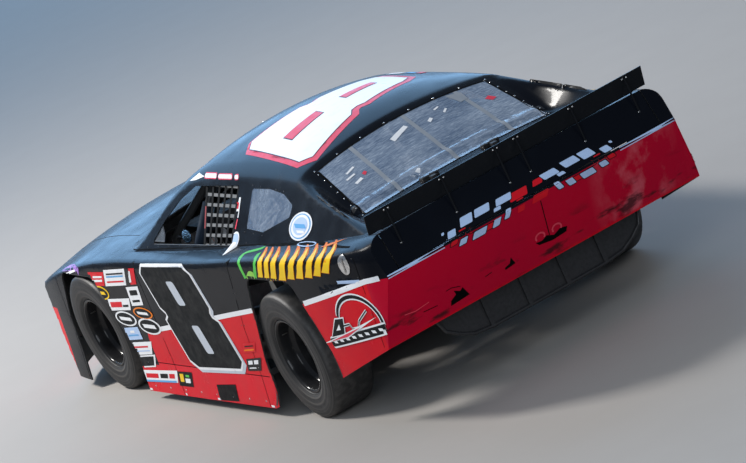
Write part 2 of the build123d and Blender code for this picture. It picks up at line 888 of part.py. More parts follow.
# Floor: pan, tunnel, firewall and rear bulkhead as one folded sheet
tunnel_half = 170
tunnel_top = 505
floor_half = rail_y - rail_width / 2 - fit_gap
floor_rear = 540
floor_front = 1900
firewall_top = 790
pan_z = floor_z - 12
with BuildPart() as floor_pan:
    for low, high in ((-floor_half, -tunnel_half), (tunnel_half, floor_half)):
        block((floor_rear, floor_front), (low, high), (pan_z, pan_z + sheet))
    for y in (-tunnel_half, tunnel_half - sheet):
        block((floor_rear, floor_front), (y, y + sheet), (pan_z, tunnel_top))
    block((floor_rear, floor_front), (-tunnel_half, tunnel_half), (tunnel_top - sheet, tunnel_top))
    block((floor_front - sheet, floor_front), (-floor_half, -tunnel_half), (pan_z, firewall_top))
    block((floor_front - sheet, floor_front), (tunnel_half, floor_half), (pan_z, firewall_top))
    block((floor_front - sheet, floor_front), (-tunnel_half, tunnel_half), (tunnel_top - sheet, firewall_top))
save(floor_pan, "floor_pan")

rear_shelf_z = 700
bulkhead = 420
bulkhead_half = 660
shelf_rear = -640
shelf_half = 380
with BuildPart() as rear_bulkhead:
    upright = (bulkhead, bulkhead + sheet)
    block(upright, (-bulkhead_half, bulkhead_half), (rear_rail_top + fit_gap, rear_shelf_z))
    block((shelf_rear, bulkhead + sheet), (-shelf_half, shelf_half), (rear_shelf_z, rear_shelf_z + sheet))
save(rear_bulkhead, "rear_bulkhead")

# Dashboard: a folded panel across the cabin with an instrument face in front of the driver
dash_front = pillar_foot[0] - cage_tube - fit_gap
dash_half = 590
dash_sheet = 7
dash_low = 690
dash_brow_z = 800
dash_top_z = 845
dash_rear = 1480
dash_hem = 785
column_radius = 20
column_start = Vector(ahead(column_foot[0]), driver_y, column_foot[1])
column_end = Vector(ahead(wheel_hub[0]), driver_y, wheel_hub[1])
column_axis = (column_end - column_start).normalized()
with BuildPart() as dashboard:
    with BuildSketch(Plane.XZ.offset(-dash_half)):
        with BuildLine():
            Polyline(
                (ahead(dash_rear + 20), dash_low),
                (ahead(dash_rear), dash_brow_z),
                (ahead(dash_rear + 80), dash_top_z),
                (ahead(dash_front), dash_top_z + 5),
                (ahead(dash_front), dash_hem),
                (ahead(dash_front - dash_sheet), dash_hem),
                (ahead(dash_front - dash_sheet), dash_top_z + 5 - dash_sheet),
                (ahead(dash_rear + 82), dash_top_z - dash_sheet),
                (ahead(dash_rear + dash_sheet), dash_brow_z - 3),
                (ahead(dash_rear + 20 + dash_sheet), dash_low),
                close=True,
            )
        make_face()
    extrude(amount=2 * dash_half)
    with BuildSketch(Plane(origin=column_start, z_dir=column_axis)):
        Circle(column_radius + fit_gap)
    extrude(amount=(column_end - column_start).length, mode=Mode.SUBTRACT)
save(dashboard, "dashboard")

# Driver's seat: an aluminium bucket with leg, rib and head supports
seat_front = 1120
seat_rear = 700
seat_half = 205
seat_wall = 25
seat_base = 330
seat_top = 1050
back_lean = 95
back_foot = 70
back_head = 60
seat_low = pan_z + sheet + fit_gap
wing_outline = [
    (seat_rear, seat_base),
    (seat_rear - 90, seat_top - 5),
    (seat_rear + 150, seat_top - 5),
    (seat_rear + 170, 900),
    (seat_rear + 130, 820),
    (seat_rear + 210, 760),
    (seat_rear + 220, 600),
    (seat_rear + 210, seat_base + 100),
    (seat_front, seat_base + 100),
    (seat_front, seat_base),
]
back_outline = [
    (seat_rear, seat_base),
    (seat_rear - back_lean, seat_top),
    (seat_rear - back_lean + back_head, seat_top),
    (seat_rear + back_foot, seat_base),
]
with BuildPart() as seat:
    left_y = driver_y + seat_half
    right_y = driver_y - seat_half
    block((seat_rear, seat_front), (right_y, left_y), (seat_low, seat_base))
    add(side_prism(back_outline, right_y, left_y))
    add(side_prism(wing_outline, right_y, right_y + seat_wall))
    add(side_prism(wing_outline, left_y - seat_wall, left_y))
save(seat, "seat")

# Steering: column, wheel, sliding link with tie rods, knuckles
shaft_radius = 9.9
hub_bore = 10
hub_half = 38
hub_back = 25
hub_depth = 40
jacket_gap = 30
with BuildPart() as column:
    rod(column_start, column_end - column_axis * jacket_gap, column_radius)
    rod(column_start, column_end + column_axis * (hub_depth - hub_back - 10), shaft_radius)
    beyond_firewall = (floor_front - sheet - fit_gap, floor_front + 100)
    near_column = (driver_y - 100, driver_y + 100)
    block(beyond_firewall, near_column, (tunnel_top, firewall_top), mode=Mode.SUBTRACT)
save(column, "steering_column")

hub_plane = Plane(origin=column_end - column_axis * hub_back, x_dir=(0, 1, 0), z_dir=column_axis)
rim_grip = 14
spoke_count = 3
spoke_width = 34
spoke_thickness = 5
cap_thickness = 14
with BuildPart() as steering_wheel:
    with BuildSketch(hub_plane):
        Circle(hub_half)
        Circle(hub_bore, mode=Mode.SUBTRACT)
    extrude(amount=hub_depth)
    with BuildSketch(hub_plane.offset(hub_depth - 5)):
        Circle(hub_half)
    extrude(amount=cap_thickness)
    rim_plane = hub_plane.offset(hub_depth + 2)
    with BuildSketch(rim_plane):
        with PolarLocations(0, spoke_count, start_angle=90):
            with Locations((steering_wheel_radius / 2, 0)):
                Rectangle(steering_wheel_radius - 10, spoke_width)
    extrude(amount=spoke_thickness)
    with BuildSketch(Plane(origin=rim_plane.origin, x_dir=column_axis, z_dir=rim_plane.y_dir)):
        with Locations((spoke_thickness / 2, 0)):
            with Locations((0, steering_wheel_radius)):
                Circle(rim_grip)
    revolve(axis=Axis(rim_plane.origin, column_axis))
save(steering_wheel, "steering_wheel")

knuckle_half = 24
arm_thickness = 30
lower_arm_z = 190
upper_arm_z = 475
pin_radius = 9
pin_clearance = 0.05
arm_gap = 1
knuckle_reach = 26
steer_arm_half = 14
steer_arm_top = steer_z - tie_eye_half - fit_gap
steer_arm_bottom = steer_z - 30
tie_pin_reach = 14
spindle_end = wheel_y + hub_bore_end - 2
for side, sign in (("left", 1), ("right", -1)):
    with BuildPart() as knuckle:
        low = lower_arm_z + arm_thickness / 2 + arm_gap
        high = upper_arm_z - arm_thickness / 2 - arm_gap
        y = sign * kingpin_y
        ends = (wheelbase - knuckle_reach, wheelbase + knuckle_reach)
        block(ends, (y - knuckle_half, y + knuckle_half), (low, high))
        with BuildSketch(Plane.XY.offset(lower_arm_z - arm_thickness / 2)):
            with Locations((ahead(wheelbase), y)):
                Circle(pin_radius)
        extrude(amount=low - lower_arm_z + arm_thickness / 2)
        with BuildSketch(Plane.XY.offset(high)):
            with Locations((ahead(wheelbase), y)):
                Circle(pin_radius)
        extrude(amount=upper_arm_z + arm_thickness / 2 - high)
        start = (ahead(wheelbase), y, axle_z)
        end = (ahead(wheelbase), sign * spindle_end, axle_z)
        rod(start, end, spindle_radius - spindle_clearance)
        arm_ends = (wheelbase, steer_d + 2 * tie_pin_radius)
        arm_sides = (y - steer_arm_half, y + steer_arm_half)
        block(arm_ends, arm_sides, (steer_arm_bottom, steer_arm_top))
        with BuildSketch(Plane.XY.offset(steer_z - tie_pin_reach)):
            with Locations((ahead(steer_d), y)):
                Circle(tie_pin_radius)
        extrude(amount=2 * tie_pin_reach)
    save(knuckle, f"knuckle_{side}")

with BuildPart() as steering_link:
    reach = kingpin_y - tie_eye_radius - tie_eye_wall / 2
    rack_x = ahead(steer_d)
    rod((rack_x, -reach, steer_z), (rack_x, reach, steer_z), rack_radius)
    for sign in (1, -1):
        with BuildSketch(Plane.XY.offset(steer_z - tie_eye_half)):
            with Locations((rack_x, sign * kingpin_y)):
                Circle(tie_eye_radius + tie_eye_wall)
                Circle(tie_eye_radius, mode=Mode.SUBTRACT)
        extrude(amount=2 * tie_eye_half)
        with BuildSketch(Plane.XY.offset(steer_z - 2 * tie_eye_half)):
            with Locations((rack_x, sign * kingpin_y)):
                Circle(tie_eye_radius)
        extrude(amount=4 * tie_eye_half, mode=Mode.SUBTRACT)
save(steering_link, "steering_link")

# Front suspension arms, upper and lower on both sides
arm_spread = 95
strut_y = 520
eye_radius = 26
spring_pad_length = 110
spring_pad_width = 60
arm_root_share = 0.72
with BuildPart() as control_arms:
    root_y = front_rail_y + half + fit_gap
    for sign in (1, -1):
        for z in (lower_arm_z, upper_arm_z):
            with BuildSketch(Plane.XY.offset(z - arm_thickness / 2)):
                eye = (ahead(wheelbase), sign * kingpin_y)
                with Locations(eye):
                    Circle(eye_radius)
                with Locations((eye[0], sign * strut_y)):
                    Rectangle(spring_pad_length, spring_pad_width)
                for spread in (-arm_spread, arm_spread):
                    root = (ahead(wheelbase + spread), sign * root_y)
                    near = (ahead(wheelbase + spread * arm_root_share), sign * root_y)
                    tip_x = eye[0] + (14 if spread > 0 else -14)
                    with BuildLine():
                        Polyline(
                            root,
                            near,
                            (eye[0], sign * (kingpin_y - 22)),
                            (tip_x, sign * (kingpin_y - 12)),
                            close=True,
                        )
                    make_face()
                with Locations(eye):
                    Circle(pin_radius + pin_clearance, mode=Mode.SUBTRACT)
            extrude(amount=arm_thickness)
save(control_arms, "control_arms")

# Rear axle: housing tubes, centre and hubs' spindles
axle_tube = 40
axle_tube_half = wheel_y - 130
axle_centre_radius = 120
pinion_radius = 55
pinion_face = 190
with BuildPart() as rear_axle:
    rod((ahead(0), -axle_tube_half, axle_z), (ahead(0), axle_tube_half, axle_z), axle_tube)
    spindle = spindle_radius - spindle_clearance
    rod((ahead(0), -spindle_end, axle_z), (ahead(0), spindle_end, axle_z), spindle)
    with Locations((ahead(0), 0, axle_z)):
        Sphere(axle_centre_radius)
    rod((ahead(0), 0, axle_z), (ahead(pinion_face), 0, axle_z), pinion_radius)
save(rear_axle, "rear_axle")

arm_y = 520
arm_z = 205
arm_radius = 18
clamp_half = 15
clamp_radius = 70
with BuildPart() as trailing_arms:
    for sign in (1, -1):
        y = sign * arm_y
        rod((ahead(rail_rear - fit_gap), y, arm_z), (ahead(0), y, arm_z), arm_radius)
        block((-25, 25), (y - clamp_half, y + clamp_half), (arm_z - 5, axle_z - axle_tube - 5))
        with BuildSketch(Plane.XZ.offset(-(y + clamp_half))):
            with Locations((ahead(0), axle_z)):
                Circle(clamp_radius)
                Circle(axle_tube + fit_gap, mode=Mode.SUBTRACT)
        extrude(amount=2 * clamp_half)
save(trailing_arms, "trailing_arms")

# Springs and dampers as plain struts: two on the front arms, two on the rear axle
front_strut_radius = 26
rear_strut_radius = 24
with BuildPart() as struts:
    for sign in (1, -1):
        y = sign * strut_y
        low = lower_arm_z + arm_thickness / 2 + fit_gap
        high = upper_arm_z - arm_thickness / 2 - fit_gap
        rod((ahead(wheelbase), y, low), (ahead(wheelbase), y, high), front_strut_radius)
        y = sign * rear_rail_y
        low = axle_z + axle_tube + fit_gap
        rod((ahead(0), y, low), (ahead(0), y, rear_rail_bottom - fit_gap), rear_strut_radius)
save(struts, "struts")

# Engine as one plain block, with gearbox, driveshaft and radiator
engine_front = wheelbase + 73
engine_rear = floor_front + 180
sump_half = 140
block_half = 160
block_z = 330
head_low = 560
head_high = 640
intake_half = 120
engine_top = 760
with BuildPart() as engine:
    with BuildSketch(Plane.YZ.offset(ahead(engine_rear))):
        with BuildLine():
            right = [(sump_half, engine_bottom), (block_half, block_z), (engine_half, head_low)]
            right += [(engine_half, head_high), (intake_half, engine_top)]
            Polyline(*right, *[(-y, z) for y, z in reversed(right)], close=True)
        make_face()
    extrude(amount=engine_front - engine_rear)
save(engine, "engine")

gearbox_rear = floor_front - 420
gearbox_half = 130
gearbox_bottom = 236
gearbox_top = 460
gearbox_corner = 30
with BuildPart() as gearbox:
    block((gearbox_rear, engine_rear), (-gearbox_half, gearbox_half), (gearbox_bottom, gearbox_top))
    chamfer(gearbox.edges().filter_by(Axis.X), gearbox_corner)
save(gearbox, "gearbox")

driveshaft_radius = 38
with BuildPart() as driveshaft:
    start = (ahead(pinion_face + fit_gap), 0, axle_z)
    rod(start, (ahead(gearbox_rear - fit_gap), 0, axle_z), driveshaft_radius)
save(driveshaft, "driveshaft")

core_half = 330
core_top = 560
core_depth = 60
tray_height = 30
with BuildPart() as radiator:
    core = (front_rail_end - 90 - core_depth, front_rail_end - 90)
    seat_z = front_rail_top + fit_gap
    block(core, (-core_half, core_half), (seat_z, core_top))
    tray_half = front_rail_y + half
    block(core, (-tray_half, tray_half), (seat_z, front_rail_top + tray_height))
save(radiator, "radiator")

cell_length = 440
cell_bottom = 300
cell_top = 560
cell_corner = 20
with BuildPart() as fuel_cell:
    cell_half = rear_rail_y - half - fit_gap
    cell_rear = rear_rail_end + bar_width + 20
    block((cell_rear, cell_rear + cell_length), (-cell_half, cell_half), (cell_bottom, cell_top))
    chamfer(fuel_cell.edges().filter_by(Axis.X), cell_corner)
save(fuel_cell, "fuel_cell")

# Exhaust: two pipes under the floor that turn out through the right-hand skirt
exhaust_front = 1880
exhaust_y = -440
exhaust_end_y = -975
hangers = (900, 1700)
with BuildPart() as exhaust:
    for step in (0, exhaust_pitch):
        turn_y = exhaust_y + step
        corner = (ahead(exhaust_exit + step), turn_y, exhaust_z)
        rod((ahead(exhaust_front), turn_y, exhaust_z), corner, exhaust_radius)
        rod(corner, (ahead(exhaust_exit + step), exhaust_end_y, exhaust_z), exhaust_radius)
        with Locations(corner):
            Sphere(exhaust_radius)
    for d in hangers:
        across = (exhaust_y - 10, exhaust_y + exhaust_pitch + 6)
        block((d, d + bar_width), across, (exhaust_z, pan_z - fit_gap))
save(exhaust, "exhaust_pipes")

# Close-out plate below the tail with a hoop along its edge and four straps
plate_rear = rear_rail_end + 20
plate_top = rear_rail_bottom - fit_gap
hoop_radius = 9
hoop_joint = 1.05 * hoop_radius
hoop_half = 604
hoop_bottom = 258
hoop_line = [
    (hoop_half, 426),
    (574, 349),
    (514, 306),
    (442, 272),
    (334, 260),
    (0, hoop_bottom),
]
pan_straps = [337, 112, -112, -337]
strap_half = 12
strap_top = 440
with BuildPart() as rear_pan:
    edge = hoop_line + [(-y, z) for y, z in reversed(hoop_line[:-1])]
    plate_back = plate_rear - sheet
    with BuildSketch(Plane.YZ.offset(ahead(plate_back))):
        with BuildLine():
            Polyline(*edge, (-hoop_half, plate_top), (hoop_half, plate_top), close=True)
        make_face()
    extrude(amount=sheet)
    x = ahead(plate_back - hoop_radius / 2)
    for (y0, z0), (y1, z1) in zip(edge, edge[1:]):
        rod((x, y0, z0), (x, y1, z1), hoop_radius)
        with Locations((x, y1, z1)):
            Sphere(hoop_joint)
    for y in pan_straps:
        wide = (y - strap_half, y + strap_half)
        block((plate_back - strap_half, plate_back), wide, (hoop_bottom + 4, strap_top))
save(rear_pan, "rear_pan")

# Window net in the driver's window, lying in the plane of the leaning side
net_outline = [(905, 858), (535, 866), (618, 1130), (1077, 1136)]
net_depth = wall + 0.4
net_thickness = 5
net_heights = (840, 1150)
with BuildPart() as window_net:
    with BuildSketch(Plane.YZ.offset(ahead(door_rear))):
        with BuildLine():
            outer = [(cab_side(z) - net_depth, z) for z in net_heights]
            inner = [(cab_side(z) - net_depth - net_thickness, z) for z in reversed(net_heights)]
            Polyline(*outer, *inner, close=True)
        make_face()
    extrude(amount=door_front - door_rear)
    add(side_prism(net_outline, panel_inner_y, far), mode=Mode.INTERSECT)
save(window_net, "window_net")
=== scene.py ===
"""Looks of the short-track stock car: paint, livery shapes, glazing, wheels, cabin and small trim.

All lengths are metres in the part's own frame: +X forward, +Y to the car's left, +Z up.
Places along the car are given as d, the distance ahead of the rear axle; ahead() turns d into X.
"""
import math

import bmesh
import bpy
import numpy as np
from mathutils import Matrix, Vector
from mathutils.bvhtree import BVHTree
from mathutils.interpolate import poly_3d_calc


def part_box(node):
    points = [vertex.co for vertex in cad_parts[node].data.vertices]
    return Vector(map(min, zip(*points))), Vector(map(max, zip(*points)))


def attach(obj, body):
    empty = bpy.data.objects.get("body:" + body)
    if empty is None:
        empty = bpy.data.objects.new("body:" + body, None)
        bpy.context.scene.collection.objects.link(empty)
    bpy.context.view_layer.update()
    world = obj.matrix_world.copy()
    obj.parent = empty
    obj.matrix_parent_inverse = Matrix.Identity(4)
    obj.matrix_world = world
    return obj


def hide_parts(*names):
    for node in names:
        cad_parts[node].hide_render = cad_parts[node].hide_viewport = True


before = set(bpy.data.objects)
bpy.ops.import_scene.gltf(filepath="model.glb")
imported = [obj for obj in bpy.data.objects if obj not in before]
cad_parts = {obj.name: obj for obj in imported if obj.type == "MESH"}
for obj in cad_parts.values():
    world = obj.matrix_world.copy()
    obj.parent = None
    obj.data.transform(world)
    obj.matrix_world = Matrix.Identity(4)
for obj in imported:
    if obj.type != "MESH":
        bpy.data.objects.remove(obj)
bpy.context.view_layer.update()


def centre_of(node):
    """Middle of a CAD node's box."""
    low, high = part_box(node)
    return (low + high) / 2


rear_axle = centre_of("tyre_rear_left")
tyre_radius = rear_axle.z
driver_y = centre_of("seat").y
CAR = "car"


def ahead(d):
    """X of a place that far ahead of the rear axle."""
    return rear_axle.x + d


def at(d, y, z):
    """A place in space."""
    return Vector((ahead(d), y, z))


class Look:
    """A node material with short calls for the nodes used here."""

    def __init__(self, name, color=(0.5, 0.5, 0.5), roughness=0.5, **sockets):
        self.material = bpy.data.materials.new(name)
        self.material.use_nodes = True
        self.tree = self.material.node_tree
        self.shader = self.tree.nodes["Principled BSDF"]
        self.set("Base Color", color)
        self.set("Roughness", roughness)
        for socket, value in sockets.items():
            self.set(socket.replace("_", " ").title().replace("Ior", "IOR"), value)
        self.place = self.node("ShaderNodeTexCoord").outputs["Object"]

    def feed(self, socket, value):
        """Gives an input a link, a value or a colour."""
        if isinstance(value, bpy.types.NodeSocket):
            self.tree.links.new(value, socket)
        else:
            socket.default_value = (*value, 1) if socket.type == "RGBA" else value

    def set(self, socket, value):
        """Feeds one of the shader's inputs."""
        self.feed(self.shader.inputs[socket], value)

    def node(self, kind, inputs=(), **settings):
        """Adds a node; inputs are (socket, value or link) pairs."""
        made = self.tree.nodes.new(kind)
        for key, value in settings.items():
            setattr(made, key, value)
        for socket, value in inputs:
            self.feed(made.inputs[socket], value)
        return made

    def stretched(self, scale):
        """The object's coordinates scaled per axis."""
        return self.node("ShaderNodeMapping", [("Vector", self.place), ("Scale", scale)]).outputs["Vector"]

    def noise(self, scale, detail, stretch=None, roughness=0.55):
        """A noise pattern's value."""
        vector = self.stretched(stretch) if stretch else self.place
        return self.node("ShaderNodeTexNoise", [
            ("Vector", vector), ("Scale", scale), ("Detail", detail),
            ("Roughness", roughness)]).outputs["Fac"]

    def math(self, operation, a, b=0.0, clamp=False):
        """One arithmetic step."""
        return self.node("ShaderNodeMath", [(0, a), (1, b)], operation=operation, use_clamp=clamp).outputs[0]

    def times(self, *values):
        """The product of two or three values."""
        made = values[0]
        for value in values[1:]:
            made = self.math("MULTIPLY", made, value)
        return made

    def fade(self, value, low, high, to_low=0.0, to_high=1.0):
        """Maps a value between two limits onto another range, held at both ends."""
        return self.node("ShaderNodeMapRange", [
            ("Value", value), ("From Min", low), ("From Max", high),
            ("To Min", to_low), ("To Max", to_high)]).outputs["Result"]

    def spots(self, scale, detail, low, high, to_low=0.0, to_high=1.0, stretch=None):
        """A noise pattern faded between two limits."""
        return self.fade(self.noise(scale, detail, stretch), low, high, to_low, to_high)

    def mix(self, share, first, second):
        """A colour between two colours or links."""
        made = self.node("ShaderNodeMix", data_type="RGBA")
        inputs = {i.name: i for i in made.inputs if i.enabled}
        for socket, value in (("Factor", share), ("A", first), ("B", second)):
            self.feed(inputs[socket], value)
        return [o for o in made.outputs if o.enabled][0]

    def bump(self, height, distance, strength):
        """Feeds a height pattern, in metres at full strength, to the shader's normal."""
        made = self.node("ShaderNodeBump", [
            ("Height", height), ("Distance", distance), ("Strength", strength)])
        self.set("Normal", made.outputs["Normal"])

    def axes(self):
        """The object's coordinates as three values."""
        return self.node("ShaderNodeSeparateXYZ", [("Vector", self.place)]).outputs


# Height of the border between the black upper body and the red lower body
border_line = [(-1.60, 0.784), (-1.164, 0.784), (-0.419, 0.664), (0.213, 0.610), (0.555, 0.570),
               (1.544, 0.450), (1.880, 0.412), (1.885, 0.0), (3.28, 0.0), (3.285, 0.46), (3.80, 0.46)]
stripe_end = 1.70
skirt_top = 0.215
black_paint = (0.0035, 0.0045, 0.0075)
red_paint = (0.68, 0.003, 0.008)
dust = (0.12, 0.10, 0.085)


def body_paint():
    """Glossy two-colour wrap with slight waves, dust low down and scuffs on the tail, with painted shade on
    the tail and a painted sky reflection on the skirt.
    """
    look = Look("body_paint", roughness=0.25, coat_weight=0.06, coat_roughness=0.05, specular_ior_level=0.03)
    x, y, z = look.axes()
    low, high = ahead(border_line[0][0]), ahead(border_line[-1][0])
    curve = look.node("ShaderNodeFloatCurve", [("Value", look.fade(x, low, high))])
    points = curve.mapping.curves[0].points
    for d, height in border_line[1:-1]:
        points.new((ahead(d) - low) / (high - low), height)
    points[0].location = (0, border_line[0][1])
    points[len(points) - 1].location = (1, border_line[-1][1])
    for point in points:
        point.handle_type = "VECTOR"
    curve.mapping.update()
    above = look.math("SUBTRACT", z, curve.outputs["Value"])
    on_skirt = look.times(look.fade(z, skirt_top + 0.002, skirt_top), look.fade(x, ahead(2.3), ahead(2.2)))
    upper = look.times(look.fade(above, -0.0015, 0.0015), look.math("SUBTRACT", 1.0, on_skirt))
    tone = look.noise(1.6, 4)
    red = look.mix(look.fade(tone, 0.35, 0.7), red_paint, (0.50, 0.003, 0.016))
    # the tail's cover is a deeper crimson, painted shade for the tail's face turned away from the key light;
    # it is rubbed pale on its right part and black along its low edge
    on_tail = look.fade(x, ahead(-1.17), ahead(-1.16), 1, 0)
    red = look.mix(look.times(on_tail, 0.75), red, (0.40, 0.003, 0.028))
    rub_side = look.times(look.fade(y, -0.30, -0.48), look.fade(y, -0.84, -0.70))
    rub = look.times(rub_side, look.spots(7, 6, 0.47, 0.62, stretch=(1, 1, 0.6)), on_tail)
    red = look.mix(look.times(rub, 0.4), red, (0.70, 0.20, 0.24))
    smudge = look.spots(11, 8, 0.56, 0.66, stretch=(1, 0.5, 1.6))
    black_rub = look.times(smudge, look.fade(z, 0.64, 0.53), on_tail)
    red = look.mix(look.times(black_rub, 0.85), red, (0.02, 0.008, 0.01))
    # the skirt below the rocker crease is painted a paler, pinker red: a painted reflection of the sky on its
    # outward-flared face
    skirt = look.times(look.fade(z, 0.245, 0.235), look.fade(x, ahead(-0.4), ahead(-0.3)))
    red = look.mix(look.times(skirt, 0.8), red, (0.66, 0.010, 0.025))
    black = look.mix(look.fade(tone, 0.4, 0.7), black_paint, (0.006, 0.008, 0.012))
    color = look.mix(upper, red, black)
    grime = look.times(look.fade(z, 0.55, 0.05), look.spots(9, 8, 0.42, 0.75))
    color = look.mix(look.times(grime, 0.16), color, dust)
    color = look.mix(look.times(look.spots(160, 2, 0.70, 0.78), 0.10), color, dust)
    look.set("Base Color", color)
    look.set("Roughness", look.spots(5, 6, 0.3, 0.8, 0.16, 0.34))
    look.bump(look.noise(3.2, 2), 0.003, 0.25)
    return look.material


def plain_paint(name, color, roughness=0.35, wear=0.25, coat=0.04):
    """Vinyl or paint of one colour with light dirt and uneven gloss."""
    look = Look(name, color, roughness, coat_weight=coat, coat_roughness=0.12, specular_ior_level=0.04)
    darker = tuple(c * 0.55 + 0.02 for c in color)
    look.set("Base Color", look.mix(look.times(look.spots(14, 7, 0.52, 0.78), wear), color, darker))
    look.set("Roughness", look.spots(22, 5, 0.3, 0.75, roughness * 0.75, min(1, roughness * 1.35)))
    return look.material


def metal(name, color, roughness, grain=60, metallic=1.0):
    """Bare or cast metal with an uneven surface."""
    look = Look(name, color, roughness, metallic=metallic)
    look.set("Base Color", look.mix(look.spots(grain, 6, 0.4, 0.75), color, tuple(c * 0.6 for c in color)))
    look.set("Roughness", look.spots(grain / 2, 5, 0.3, 0.8, roughness * 0.7, min(1, roughness * 1.4)))
    look.bump(look.noise(grain * 3, 3), 0.0006, 0.35)
    return look.material


def tyre_rubber():
    """Slick racing tyre: grained tread, ringed sidewall with brown scuffs. The wheel's axis is local Y."""
    look = Look("tyre_rubber", (0.016, 0.016, 0.017), 0.6)
    x, y, z = look.axes()
    radius = look.math("SQRT", look.math("ADD", look.times(x, x), look.times(z, z)))
    tread = look.fade(radius, tyre_radius - 0.016, tyre_radius - 0.006)
    smear = look.noise(4, 8, roughness=0.7)
    ringed = look.node("ShaderNodeTexNoise", [("Scale", 60.0), ("Detail", 5.0)], noise_dimensions="1D")
    look.feed(ringed.inputs["W"], radius)
    side_marks = look.times(look.fade(ringed.outputs["Fac"], 0.50, 0.66), look.fade(smear, 0.35, 0.65))
    scuffed = look.mix(look.times(side_marks, 0.55), (0.014, 0.014, 0.015), (0.11, 0.10, 0.09))
    worn = look.mix(look.spots(30, 8, 0.4, 0.7), (0.022, 0.021, 0.021), (0.055, 0.052, 0.05))
    look.set("Base Color", look.mix(tread, scuffed, worn))
    look.set("Roughness", look.fade(smear, 0.3, 0.7, 0.42, 0.75))
    rings = look.math("SINE", look.times(radius, 900))
    look.bump(look.math("ADD", look.times(rings, 0.15), look.noise(220, 4)), 0.0009, 0.5)
    return look.material


def worn_rubber(name, color):
    """Flexible rubber or plastic edging, scraped along its length."""
    look = Look(name, color, 0.65)
    scraped = look.spots(26, 8, 0.5, 0.72, stretch=(0.5, 1, 3))
    look.set("Base Color", look.mix(scraped, color, (0.075, 0.072, 0.07)))
    look.bump(look.noise(90, 4), 0.0012, 0.4)
    return look.material


def polycarbonate(name, tint, clear, scuffed, roughness=0.16):
    """Scuffed plastic glazing: a milky film of fine marks over a see-through pane."""
    look = Look(name, tint, roughness, coat_weight=0.5, coat_roughness=0.05)
    cloud = look.noise(4.5, 6, (1.3, 0.6, 1.0), 0.6)
    fine = look.noise(60, 7, (2.4, 0.35, 1.0), 0.72)
    streaks = look.noise(150, 5, (1.6, 0.12, 1.0), 0.7)
    haze = look.math("ADD", look.fade(cloud, 0.35, 0.7, 0, 0.34), look.fade(fine, 0.42, 0.70, 0, 0.50))
    haze = look.math("ADD", haze, look.fade(streaks, 0.56, 0.72, 0, 0.45), clamp=True)
    look.set("Base Color", look.mix(haze, tint, (0.52, 0.60, 0.70)))
    look.set("Alpha", look.fade(haze, 0, 1, clear, scuffed))
    look.set("Roughness", look.fade(haze, 0, 1, roughness * 0.6, 0.5))
    look.bump(look.noise(120, 4), 0.0004, 0.25)
    return look.material


def webbing(name, color, sheen=0.3):
    """Woven strap: diagonal ribs across both ways, fuzzy and matte."""
    look = Look(name, color, 0.85, sheen_weight=sheen, specular_ior_level=0.1)
    waves = [look.node("ShaderNodeTexWave", [
        ("Vector", look.stretched(scale)), ("Scale", 1.0), ("Distortion", 0.4)]).outputs["Fac"]
        for scale in ((520, 0, 520), (0, 700, 260))]
    weave = look.times(*waves)
    look.set("Base Color", look.mix(weave, tuple(c * 0.45 for c in color), color))
    look.bump(weave, 0.0008, 0.6)
    return look.material


def composite_inside():
    """Bare black inner face of a moulded panel, with a faint fibre pattern."""
    look = Look("panel_inside", (0.012, 0.012, 0.013), 0.6)
    fibre = look.noise(55, 6, (3, 1, 1))
    look.set("Base Color", look.mix(look.fade(fibre, 0.4, 0.7), (0.010, 0.010, 0.011), (0.03, 0.03, 0.031)))
    look.bump(fibre, 0.001, 0.4)
    return look.material


paint = body_paint()
inside = composite_inside()
white = plain_paint("white_vinyl", (0.78, 0.80, 0.83))
slot_grey = plain_paint("pale_grey_vinyl", (0.50, 0.55, 0.62))
pale_blue = plain_paint("pale_blue_vinyl", (0.42, 0.56, 0.80))
sky_blue = plain_paint("sky_blue_vinyl", (0.12, 0.36, 0.68))
charcoal = plain_paint("charcoal_vinyl", (0.010, 0.0115, 0.013), 0.5, 0.4)
bright_red = plain_paint("red_vinyl", (0.62, 0.010, 0.02))
rose = plain_paint("rose_vinyl", (0.66, 0.055, 0.09))
yellow = plain_paint("yellow_vinyl", (0.85, 0.55, 0.02))
orange = plain_paint("orange_vinyl", (0.80, 0.20, 0.01))
green = plain_paint("green_vinyl", (0.10, 0.50, 0.08))
lime = plain_paint("lime_vinyl", (0.28, 0.60, 0.10))
violet = plain_paint("violet_vinyl", (0.30, 0.16, 0.48))
gloss_black = plain_paint("black_vinyl", (0.008, 0.009, 0.011), 0.25)
seam_black = plain_paint("seam_gap", (0.002, 0.002, 0.002), 0.9, 0, 0)
rubber = tyre_rubber()
edging = worn_rubber("rubber_edging", (0.02, 0.02, 0.021))
wheel_black = plain_paint("wheel_black", (0.013, 0.013, 0.014), 0.32, 0.5, 0.35)
frame_grey = plain_paint("frame_paint", (0.11, 0.115, 0.12), 0.45, 0.5, 0.15)
cage_paint = plain_paint("cage_paint", (0.05, 0.052, 0.055), 0.4, 0.4, 0.2)
black_plastic = plain_paint("black_plastic", (0.015, 0.015, 0.016), 0.55, 0.3, 0)
strap_grey = plain_paint("strap_grey", (0.26, 0.29, 0.33), 0.5, 0.3, 0)
pad_blue = plain_paint("bar_foam", (0.020, 0.030, 0.048), 0.6, 0.3, 0)
black_steel = metal("black_steel", (0.028, 0.028, 0.03), 0.48, metallic=0.4)
bare_steel = metal("bare_steel", (0.42, 0.40, 0.38), 0.38)
bright_steel = metal("bright_steel", (0.66, 0.66, 0.66), 0.25)
brake_steel = metal("brake_steel", (0.30, 0.27, 0.25), 0.4, 40)
cast_iron = metal("cast_iron", (0.10, 0.095, 0.09), 0.6, 40, 0.8)
sheet_alloy = metal("sheet_alloy", (0.52, 0.53, 0.54), 0.42, 25)
seat_alloy = metal("seat_alloy", (0.62, 0.63, 0.64), 0.5, 30, 0.6)
duct_skin = metal("duct_skin", (0.46, 0.47, 0.48), 0.55, 45, 0.3)
